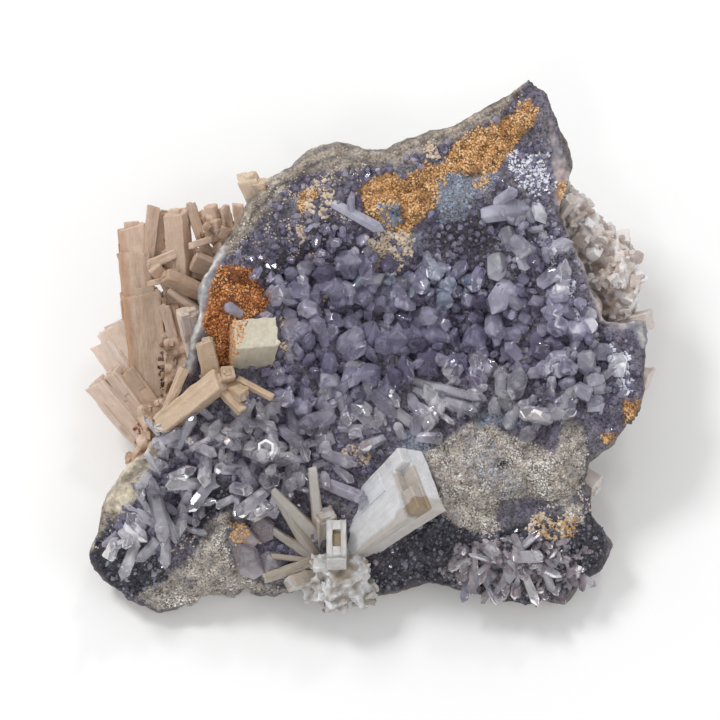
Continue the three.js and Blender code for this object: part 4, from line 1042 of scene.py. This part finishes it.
# Anhydrite: root and tip in the face frame, width, thickness, roll about the length
# and, where it changes, the end's section as a share of the root's
anhydrite = {
    "block_cluster": {
        "finish": "cream", "steps": 2, "seed": 61, "rubble": 90,
        "shades": {0: 0.74, 1: 0.5, 2: 0.44, 3: 0.42, 4: 0.52, 6: 0.46, 7: 0.42},
        "prisms": [
            [[-3.8, -36.6, -3.4], [9.6, -24.5, 8.2], 9.4, 4.8, -1.45, 1.42],  # the big block
            [[-6.4, -33.5, 1.5], [-6.3, -40.5, 6.6], 3.7, 5, 0],  # the small square block
            [[-8.6, -37.6, -1.5], [-18.2, -26.6, 8], 3.2, 1.6, 0.5, 0.35],  # the two blades
            [[-10.8, -39.5, -1.5], [-18.2, -27.2, 6.4], 2.8, 1.5, -0.3, 0.4],
            [[-9.6, -37, -1.5], [-10.8, -22.6, 8], 2.4, 1.4, 0.1, 0.7],  # the upright lath
            [[-8.6, -38, -3], [-8.6, -31.4, 2.6], 3.8, 3, 0.4],
            [[-11, -40.6, -1.5], [-19.8, -43.6, 2], 2.1, 1.9, 0.3],
            [[-11.4, -39.5, -1.5], [-19.2, -34, 2], 2.4, 1.3, 0.4, 0.5],
            [[-10.6, -40.6, -2], [-18.9, -39.4, 2], 1.2, 1, 0],
            [[-10, -43.6, -3], [-15.2, -44.6, 2.5], 2.8, 2.6, 0.6],
        ],
        "lumps": [
            [[-6.5, -46.5, -5.5], [-5.2, -40.5, 2], 9, 8, 0.5],  # the rough knob
            [[-9.5, -45, -5], [-10.5, -46, 0.5], 5.5, 5, 0.2],
            [[-3.2, -45.5, -5], [-1.2, -46.6, -0.5], 4.6, 4.6, 0.9],
            [[-6.6, -49.4, -5], [-6.4, -46.5, 1], 4.6, 3, 0],
        ]},
    "rim_block": {
        "finish": "green", "steps": 0, "seed": 62, "shades": {0: 0.6},
        "prisms": [
            [[-23.8, -3.2, -4.5], [-21.4, 2.8, 7.6], 8.2, 5.8, 0.12],
        ]},
    "rim_prisms": {
        "finish": "buff", "steps": 2, "seed": 63,
        "prisms": [
            [[-39.5, -14.8, 1], [-28, -5.9, 6], 3.9, 3.8, 0.35],  # the long one on the rim
            [[-39.2, -13.4, 1.5], [-35, -3.9, 4.5], 1.5, 1.9, 0],
            [[-29.2, -7.6, 2], [-31.2, 1.2, 7], 3.3, 2.6, 0.2],
            [[-31.5, -4.5, 3], [-24, -12, 6], 1.7, 1.8, 0.3],
            [[-27, -6.8, 3], [-23.6, -8.9, 7.2], 2.6, 2.2, 0.3],
            [[-25, -5.9, 4.6], [-18.3, -9.4, 6.5], 1.3, 1.1, 0.3],
            [[-28, -6.5, 2], [-26.6, -4.6, 7], 2.6, 2.4, 0.2],
        ]},
    "left_cluster": {
        "finish": "tan", "steps": 2, "seed": 64, "rubble": 300,
        "shades": {0: 0.62, 1: 0.58, 2: 0.56, 5: 0.66, 20: 0.95, 21: 0.9, 22: 0.8, 23: 0.75, 19: 0.95},
        "prisms": [
            [[-42.6, -14, -15], [-46.3, 23.6, -11.2], 5, 6.6, 0.25],  # the tall pillar
            [[-42.4, -13.8, -15], [-45.8, 18.4, -11.3], 5.8, 6.8, 0.25],
            [[-42.2, -13.6, -15], [-44.6, 10.9, -11.8], 7.3, 7, 0.25],
            [[-43.3, 14, -10.5], [-41.6, 27.3, -7], 2.2, 1.6, 0.2],  # laths beside its top
            [[-41.9, 13, -12], [-39.8, 26.3, -9], 2.2, 2, 0.1],
            [[-36.2, 7, -11.5], [-37.2, 26.2, -6.5], 4.2, 3.6, -0.35],
            [[-31, 17, -9], [-34.6, 27.7, -7], 2, 2, 0.3],
            [[-28.6, 18, -8], [-30.6, 27.4, -5.8], 2.3, 1.7, -0.4],
            [[-26.4, 18.6, -8], [-28, 27.2, -5.6], 1.9, 2, 0.5],
            [[-24.2, 19, -8], [-25.4, 27.6, -5.4], 2.1, 1.6, 0.2],
            [[-29, 21.4, -7], [-34.4, 19.6, -4.6], 1.5, 1.3, 0.2],
            [[-29.6, 15, -8.5], [-34, 16.8, -6], 4, 1.6, 0.5],
            [[-36, 18.9, -8], [-42.4, 16, -6.4], 1.9, 1.9, 0.3],
            [[-37.6, 11, -9.5], [-41.4, 15.4, -4.4], 2.6, 1.1, 0.8],
            [[-38, 13.6, -9.5], [-42, 12.4, -4.8], 2.4, 1.1, 0.2],
            [[-31, 10.2, -8.5], [-39.6, 13.8, -4.8], 2.8, 2.4, 0.3],
            [[-31, 5.6, -9.5], [-38.6, 11.4, -6.6], 1.3, 1.3, 0.2],
            [[-36.5, -4, -13], [-39.6, 8.3, -8.8], 2, 2.4, 0.2],
            [[-34, -3, -13], [-38, 8.2, -9.6], 2, 2.2, 0.4],
            [[-33, -4, -12], [-35, 7.2, -5.8], 4, 2.6, 0.5],  # the pale one behind the rim
            [[-43, -11, -13], [-50, 4.4, -12.4], 6.4, 2.6, 0.3],  # the pinkish plates
            [[-43, -12, -13.2], [-51.8, 1, -13.2], 5, 2.4, 0.1],
            [[-42, -19.5, -12.8], [-52.9, -6.6, -12], 4.3, 3.8, 0.2],  # prisms of its foot
            [[-41, -16.5, -12], [-50, -4.6, -10.6], 2.8, 2.6, 0.2],
            [[-40, -13.5, -11.5], [-46.8, -4, -10.6], 3, 2.6, 0.4],
        ],
        "lumps": [
            [[-22, 19.6, -8.6], [-32, 23.8, -6.6], 4.6, 4.4, 0.4],  # rough root masses
            [[-35, -18, -14.5], [-34.6, 19, -11.8], 11, 6, 0.15],
            [[-37, -12, -10.5], [-43.4, -13.2, -4.8], 4.8, 4.4, 0.1],
            [[-37, -17, -9.5], [-44.6, -18.2, -5], 2.8, 3.4, 0.4],
            [[-35.4, -18.6, -9], [-46.6, -21.6, -5.8], 3.2, 3.2, 0.4],
        ]},
    "top_left_stub": {
        "finish": "buff", "steps": 1, "seed": 65,
        "prisms": [
            [[-19, 23, -4], [-23.4, 32.4, 1.6], 3.6, 4, 0.3],
            [[-18, 23.6, -4], [-20.8, 31.6, 2], 3.6, 3.4, -0.3],
        ]},
    "right_cluster": {
        "finish": "white", "steps": 0, "seed": 66, "rubble": 330,
        "prisms": [
            [[40, 2, -12], [54, 5.4, -7.6], 3.8, 3.6, 0.4],
            [[41, -4, -14], [53.9, -6.3, -9], 4.8, 3.6, 0.2],
            [[40, -1, -15], [53.2, 0.2, -12], 4.6, 4.2, 0.6],
            [[33.5, 21, -10], [38.4, 28.6, -2], 3.6, 2.4, 0.6],
        ],
        "lumps": [
            [[34, 18, -14], [40.6, 27.8, -6], 5.4, 5, 0.4],
            [[35, 17, -14], [37.8, 31, -7.4], 3.8, 3.8, 0.2],
            [[36, 16, -15], [44.8, 23.2, -7], 6.2, 6, 0.7],
            [[37, 13, -16], [50, 18.8, -8.6], 6, 6, 0.3],
            [[38, 10, -16], [49.8, 14, -5.6], 8, 6.5, 0.8],
            [[38, 8, -15], [50.4, 9.4, -8.5], 6.2, 6, 0.4],
        ]},
    "lower_right_tip": {
        "finish": "white", "steps": 1, "seed": 67,
        "prisms": [
            [[36, -22, -9], [43.6, -27, -6.5], 3.8, 3.4, 0.3],
        ]},
}

anhydriteFinishes = {
    "cream": {"shades": ("#8f8780", "#b9b4ae", "#d0cfd0", "#eceef2"), "film": "#8a7352", "filmShare": 0.02,
              "rough": 0.42},
    "green": {"shades": ("#8e8672", "#b5ab94", "#ccc5b2", "#e4e0d2"), "film": "#8f7a55", "filmShare": 0.05,
              "rough": 0.5},
    "buff": {"shades": ("#8f7860", "#b79c82", "#cfb8a0", "#e6d8c8"), "film": "#9c6c3c", "filmShare": 0.05,
             "rough": 0.55},
    "tan": {"shades": ("#8d715b", "#b3977f", "#c9af9b", "#e6d2c4"), "film": "#a9744a", "filmShare": 0.03,
            "rough": 0.62, "at": (0.28, 0.43, 0.56, 0.75)},
    "white": {"shades": ("#a3918a", "#cdc0b9", "#e2dbd8", "#f8f6f6"), "film": "#b48f70", "filmShare": 0.02,
              "rough": 0.42},
}

# Parts of two of the crystals, as shares of their width, thickness and length: low and high corner
brokenParts = {
    ("block_cluster", 0): [
        [(-0.5, -0.18, 0), (0.5, 0.5, 1)],
        [(-0.5, -0.5, 0), (0.5, -0.1, 0.87)],
        [(-0.5, -0.5, 0.8), (-0.26, -0.1, 1)],
        [(0.12, -0.5, 0.8), (0.5, -0.1, 0.98)],
        [(-0.44, -0.54, 0.2), (-0.1, -0.3, 0.7)],
    ],
    ("block_cluster", 1): [
        [(-0.5, -0.5, 0), (0.5, 0.3, 1)],
        [(-0.5, 0.2, 0.05), (-0.2, 0.5, 0.96)],
        [(0.22, 0.2, 0.05), (0.5, 0.5, 0.96)],
        [(-0.4, 0.2, 0.05), (0.4, 0.48, 0.3)],
        [(-0.4, 0.2, 0.72), (0.4, 0.46, 0.94)],
    ],
}

# Worn edges and cells in mm, end tilt, the thickness from which wear is full and from which there are
# ledges, shades of a prism and of its parts, angle of a sharp edge in degrees, and the gap over the floor
prismForm = {"edge": 0.14, "partEdge": 0.12, "partCuts": 12, "partWear": 0.5, "cell": 1.1, "cuts": (7, 26),
             "tilt": (-0.25, 0.25), "worn": 2.5, "ledged": 1.8, "shades": (0.38, 0.7),
             "shade": (-0.06, 0.06), "sharp": 28, "floorGap": 0.3 * mm}


# Wear in mm: size and depth of the grooves along a prism and of the chips, which are deeper at its edges
wearForm = {"groove": 1.1, "stretch": 0.1, "grooved": 0.16, "chip": 1.3, "chipped": 0.12, "edgeChipped": 1.6,
            "edgeLost": 0.3}
# Ledges on the sides and caps on the end, as shares of the prism's half width and length
ledge = {"out": (0.03, 0.07), "widest": 5, "foot": 0.5, "middle": (-0.7, 0.7), "spread": (0.15, 0.5),
         "start": (0, 0.7), "long": (0.2, 0.7), "end": (0.9, 1.0), "edge": 0.05}
cap = {"size": (0.3, 0.6), "middle": (-0.9, 0.9), "rise": (0.1, 0.4), "foot": 0.7, "edge": 0.08}


def crystalFrame(root, tip, roll):  # the same turned frame as the solid's
    along = Vector(tip) - Vector(root)
    turn = Vector((0, 0, 1)).rotation_difference(along.normalized()).to_matrix()
    return np.array(turn @ Matrix.Rotation(roll, 3, "Z")), along.length


def boxShape(low, high, edge, endTilt=(0, 0), cuts=0, wear=0.0, seed=0):
    # a box in its own frame, with worn edges and, where it is cut finely, chips and grooves
    bm = bmesh.new()
    bmesh.ops.create_cube(bm, size=1)
    low, high = Vector(low), Vector(high)
    middle = (high + low) / 2
    bmesh.ops.scale(bm, vec=high - low, verts=bm.verts[:])
    bmesh.ops.translate(bm, vec=middle, verts=bm.verts[:])
    for vert in bm.verts:
        if vert.co.z > middle.z:
            vert.co.z += (vert.co.x - middle.x) * endTilt[0] + (vert.co.y - middle.y) * endTilt[1]
    if cuts:
        bmesh.ops.subdivide_edges(bm, edges=bm.edges[:], cuts=cuts, use_grid_fill=True)
    sharp = [e for e in bm.edges if len(e.link_faces) == 2 and e.calc_face_angle(0) > 0.5]
    bmesh.ops.bevel(bm, geom=sharp, offset=edge, affect="EDGES", segments=1, profile=0.5, material=-1)
    bm.normal_update()
    shift = Vector((seed * 5.3, seed * 2.9, seed * 1.7))
    for vert in bm.verts if wear else ():
        atEdge = 1 - max(abs(axis) for axis in vert.normal)
        along = Vector((vert.co.x, vert.co.y, vert.co.z * wearForm["stretch"]))
        groove = noise.fractal(along / wearForm["groove"] + shift, 1, 2, 3) * wearForm["grooved"]
        chip = noise.fractal(vert.co / wearForm["chip"] + shift, 1, 2, 3)
        chip *= wearForm["chipped"] + atEdge * wearForm["edgeChipped"]
        vert.co += vert.normal * wear * (groove + chip - atEdge * wearForm["edgeLost"])
    return arraysOf(bm)


def ledgeBoxes(half, length, steps, random):  # low ledges on the sides of a prism and on its end
    boxes = []
    for _ in range(steps * 2):
        side = random.integers(0, 2)
        sign = random.choice([-1, 1])
        other = 1 - side
        reach = half[side] + random.uniform(*ledge["out"]) * min(half[0] * 2, ledge["widest"])
        middle = random.uniform(*ledge["middle"]) * half[other]
        spread = random.uniform(*ledge["spread"]) * half[other]
        start = random.uniform(*ledge["start"]) * length
        end = min(start + random.uniform(*ledge["long"]) * length, length * random.uniform(*ledge["end"]))
        low, high = np.zeros(3), np.zeros(3)
        low[side], high[side] = sorted([sign * half[side] * ledge["foot"], sign * reach])
        low[other], high[other] = max(middle - spread, -half[other]), min(middle + spread, half[other])
        low[2], high[2] = start, end
        boxes.append(boxShape(low, high, ledge["edge"]))
    for _ in range(steps):
        size = half * random.uniform(*cap["size"], 2)
        middle = (half - size) * random.uniform(*cap["middle"], 2)
        rise = length + random.uniform(*cap["rise"]) * half.min()
        foot = (*(middle - size), length * cap["foot"])
        boxes.append(boxShape(foot, (*(middle + size), rise), cap["edge"]))
    return boxes


def stainOf(node, index, x, y, z):  # where a film lies on a prism, by shares of its width, thickness, length
    if node == "left_cluster" and index < 3:  # rusty outer side of the pillar
        return np.clip(0.55 - (x + 0.5) * 1.6, 0, 1)
    if node != "block_cluster":
        return np.zeros(len(x))
    if index == 0:  # brown side and recess of the big block
        return 0.55 * (z > 0.83) * (y < -0.1) * (x > -0.3) + 0.45 * (x > 0.45)
    if index == 1:  # the dark pit
        return 1.2 * (np.abs(x) < 0.2) * (np.abs(z - 0.5) < 0.2) * (y > 0.2)
    return 0.3 + 0.28 * (np.abs(x) > 0.3)  # brownish edges of the laths


def makePrisms(node, settings, finish):
    random = startRandom(settings["seed"])
    verts, faces, local, tints, stains, start = [], [], [], [], [], 0
    for index, (root, tip, wide, thick, roll, *endShare) in enumerate(settings["prisms"]):
        turn, length = crystalFrame(root, tip, roll)
        half = np.array([wide, thick]) / 2
        scale = np.array([wide, thick, length])
        endTilt = random.uniform(*prismForm["tilt"], 2)
        cuts = int(np.clip(length / prismForm["cell"], *prismForm["cuts"]))
        wear = min(1.0, min(wide, thick) / prismForm["worn"])
        steps = settings["steps"] if min(wide, thick) > prismForm["ledged"] else 0
        ledges = ledgeBoxes(half, length, steps, random)
        boxes = [boxShape(low * scale, high * scale, prismForm["partEdge"], (0, 0), prismForm["partCuts"],
                          prismForm["partWear"], index)
                 for low, high in brokenParts.get((node, index), [])]
        if not boxes:
            whole = boxShape((*-half, 0), (*half, length), prismForm["edge"], endTilt, cuts, wear, index)
            boxes = [whole, *ledges]
        tint = settings.get("shades", {}).get(index, random.uniform(*prismForm["shades"]))
        narrowing = (endShare[0] if endShare else 1) - 1
        for shapeVerts, shapeFaces in boxes:
            shapeVerts = shapeVerts.copy()
            shapeVerts[:, :2] *= 1 + narrowing * np.clip(shapeVerts[:, 2:] / length, 0, 1)
            verts.append(shapeVerts @ turn.T + root)
            faces.append(shapeFaces + start)
            start += len(shapeVerts)
            local.append(shapeVerts + index * 17.3)
            tints.append(np.full(len(shapeVerts), tint + random.uniform(*prismForm["shade"])))
            stains.append(stainOf(node, index, *(shapeVerts / scale).T))
    places = toRow(np.concatenate(verts))
    places[:, 2] = np.maximum(places[:, 2], prismForm["floorGap"])
    mesh = joinParts(node, places, faces, localPos=local, tint=tints, stain=stains)
    obj = linkPiece(finish["title"] + "Prisms", mesh, finish["material"], prismForm["sharp"])
    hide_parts(node)
    return obj


# Broken bits of crystal: shapes, half length, worn edge and size in mm
rubble = {"shapes": 8, "half": 0.6, "edge": 0.1, "tilt": 0.9, "wear": 0.7, "size": (0.7, 2.8)}


def makeRubble(name, lump, settings, finish):  # broken bits of crystal all over a lump
    random = startRandom(settings["seed"] + 20)
    corner = np.array((0.5, 0.5, rubble["half"]))
    shapes = []
    for k in range(rubble["shapes"]):
        endTilt = random.uniform(-rubble["tilt"], rubble["tilt"], 2)
        shapes.append(boxShape(-corner, corner, rubble["edge"], endTilt, 1, rubble["wear"], k))
    co, normal = meshPlaces(lump)
    count = settings["rubble"]
    at = random.integers(0, len(co), count)
    places = toFace(co[at])
    outward = toFace(co[at] + normal[at] / 1000) - places
    size = drawSizes(rubble["size"], 2, count, random)
    sizes = size[:, None] * random.uniform(0.4, 1.25, (count, 3)) * [1, 1, 0.5]
    axes = axesAlong(outward + random.normal(0, 0.3, (count, 3)), random)
    mesh = joinCopies(name, shapes, places, axes, sizes, random)
    linkPiece(name, mesh, finish["material"], prismForm["sharp"])


lumpForm = {"voxel": 0.4, "ribs": 0.42, "rough": 0.9}


def makeLumps(node, settings, finish):
    bm = bmesh.new()
    for root, tip, wide, thick, roll in settings["lumps"]:
        turn, length = crystalFrame(root, tip, roll)
        made = bmesh.ops.create_cube(bm, size=1)["verts"]
        bmesh.ops.scale(bm, vec=(wide, thick, length), verts=made)
        bmesh.ops.translate(bm, vec=(0, 0, length / 2), verts=made)
        for vert in made:
            vert.co = toRow(turn @ np.array(vert.co) + root)
    bmesh.ops.recalc_face_normals(bm, faces=bm.faces[:])
    mesh = remeshed(meshFrom(bm, node + "Source"), lumpForm["voxel"])
    co, normal = meshPlaces(mesh)
    place = co * 1000
    ribs = roughness(place * [1, 0.45, 1], 1.1, 3, 8) * lumpForm["ribs"]
    lump = roughness(place, 3.2, 3, settings["seed"]) * lumpForm["rough"] + ribs - 0.2
    co = co + normal * lump[:, None] / 1000
    co[:, 2] = np.maximum(co[:, 2], prismForm["floorGap"])
    setPlaces(mesh, co)
    addAttributes(mesh, localPos=place * [1, 1, 3],
                  tint=np.clip(0.45 + roughness(place, 2, 3, 5) * 0.8, 0, 1),
                  stain=np.clip(roughness(place, 3, 3, 12) - 0.1, 0, 0.6))
    linkPiece(finish["title"] + "Lumps", mesh, finish["material"], 180)
    makeRubble(finish["title"] + "Rubble", mesh, settings, finish)


def makeAnhydrite():
    made = {}
    materials = {key: anhydriteMaterial(key + " anhydrite", **v) for key, v in anhydriteFinishes.items()}
    slots = {row["node"]: row["material_slot"] for row in frame["record"]["subparts"]}
    for node, settings in anhydrite.items():
        title = node.replace("_", " ").title().replace(" ", "")
        finish = {"material": materials[settings["finish"]], "slot": slots[node], "title": title}
        made[node] = makePrisms(node, settings, finish)
        if "lumps" in settings:
            makeLumps(node, settings, finish)
    return made


# Floor, light and camera

studio = {"distance": 550, "pixelMm": 0.19, "pixels": 720, "sensor": 36, "clip": 0.01, "aim": (-1.9, -2.3),
          "floor": 3.0, "paper": "#f8f8f8", "world": 0.62, "lit": (0, 0, 0.03)}
lights = {
    "key": {"place": (-0.4, 0.3, 0.75), "size": 0.2, "power": 3.2},
    "fill": {"place": (0.6, -0.35, 0.6), "size": 0.5, "power": 0.9},
    "sparkleLeft": {"place": (-0.15, -0.5, 0.8), "size": 0.1, "power": 0.5},
    "sparkleTop": {"place": (0.2, 0.55, 0.7), "size": 0.1, "power": 0.7},
}


def placeIn(name, data, place, aim):  # an object at place, which looks at aim
    obj = bpy.data.objects.new(name, data)
    obj.location = place
    obj.rotation_euler = (Vector(aim) - Vector(place)).to_track_quat("-Z", "Y").to_euler()
    bpy.context.scene.collection.objects.link(obj)
    return obj


def makeStudio():
    bpy.context.scene.view_settings.view_transform = "Standard"
    bm = bmesh.new()
    bmesh.ops.create_grid(bm, x_segments=1, y_segments=1, size=studio["floor"])
    mesh = meshFrom(bm, "floor")
    floor = bpy.data.objects.new("floor", mesh)
    bpy.context.scene.collection.objects.link(floor)
    material, _, shader = startMaterial("white paper floor", Roughness=0.9)
    shader.inputs["Base Color"].default_value = hexColor(studio["paper"])
    mesh.materials.append(material)

    world = bpy.data.worlds.new("studio")
    bpy.context.scene.world = world
    world.use_nodes = True
    world.node_tree.nodes["Background"].inputs["Color"].default_value = (1, 1, 1, 1)
    world.node_tree.nodes["Background"].inputs["Strength"].default_value = studio["world"]
    for name, settings in lights.items():
        light = bpy.data.lights.new(name, "AREA")
        light.size = settings["size"]
        light.energy = settings["power"]
        placeIn(name, light, settings["place"], studio["lit"])

    aimU, aimV = studio["aim"]
    data = bpy.data.cameras.new("camera")
    data.sensor_width = studio["sensor"]
    data.lens = studio["sensor"] * studio["distance"] / (studio["pixels"] * studio["pixelMm"])
    data.clip_start = studio["clip"]
    eye = toRow([aimU, aimV, studio["distance"]])
    bpy.context.scene.camera = placeIn("camera", data, eye, toRow([aimU, aimV, 0]))


def main():
    makeStudio()
    plate = makeRock()
    crystals = makeAnhydrite()
    ground = groundTree([plate.data, crystals["rim_block"].data])
    drawn = makeQuartz(ground)
    everything = groundTree([plate.data, *[obj.data for obj in crystals.values()], *drawn])
    makeGrains(ground, everything)


main()
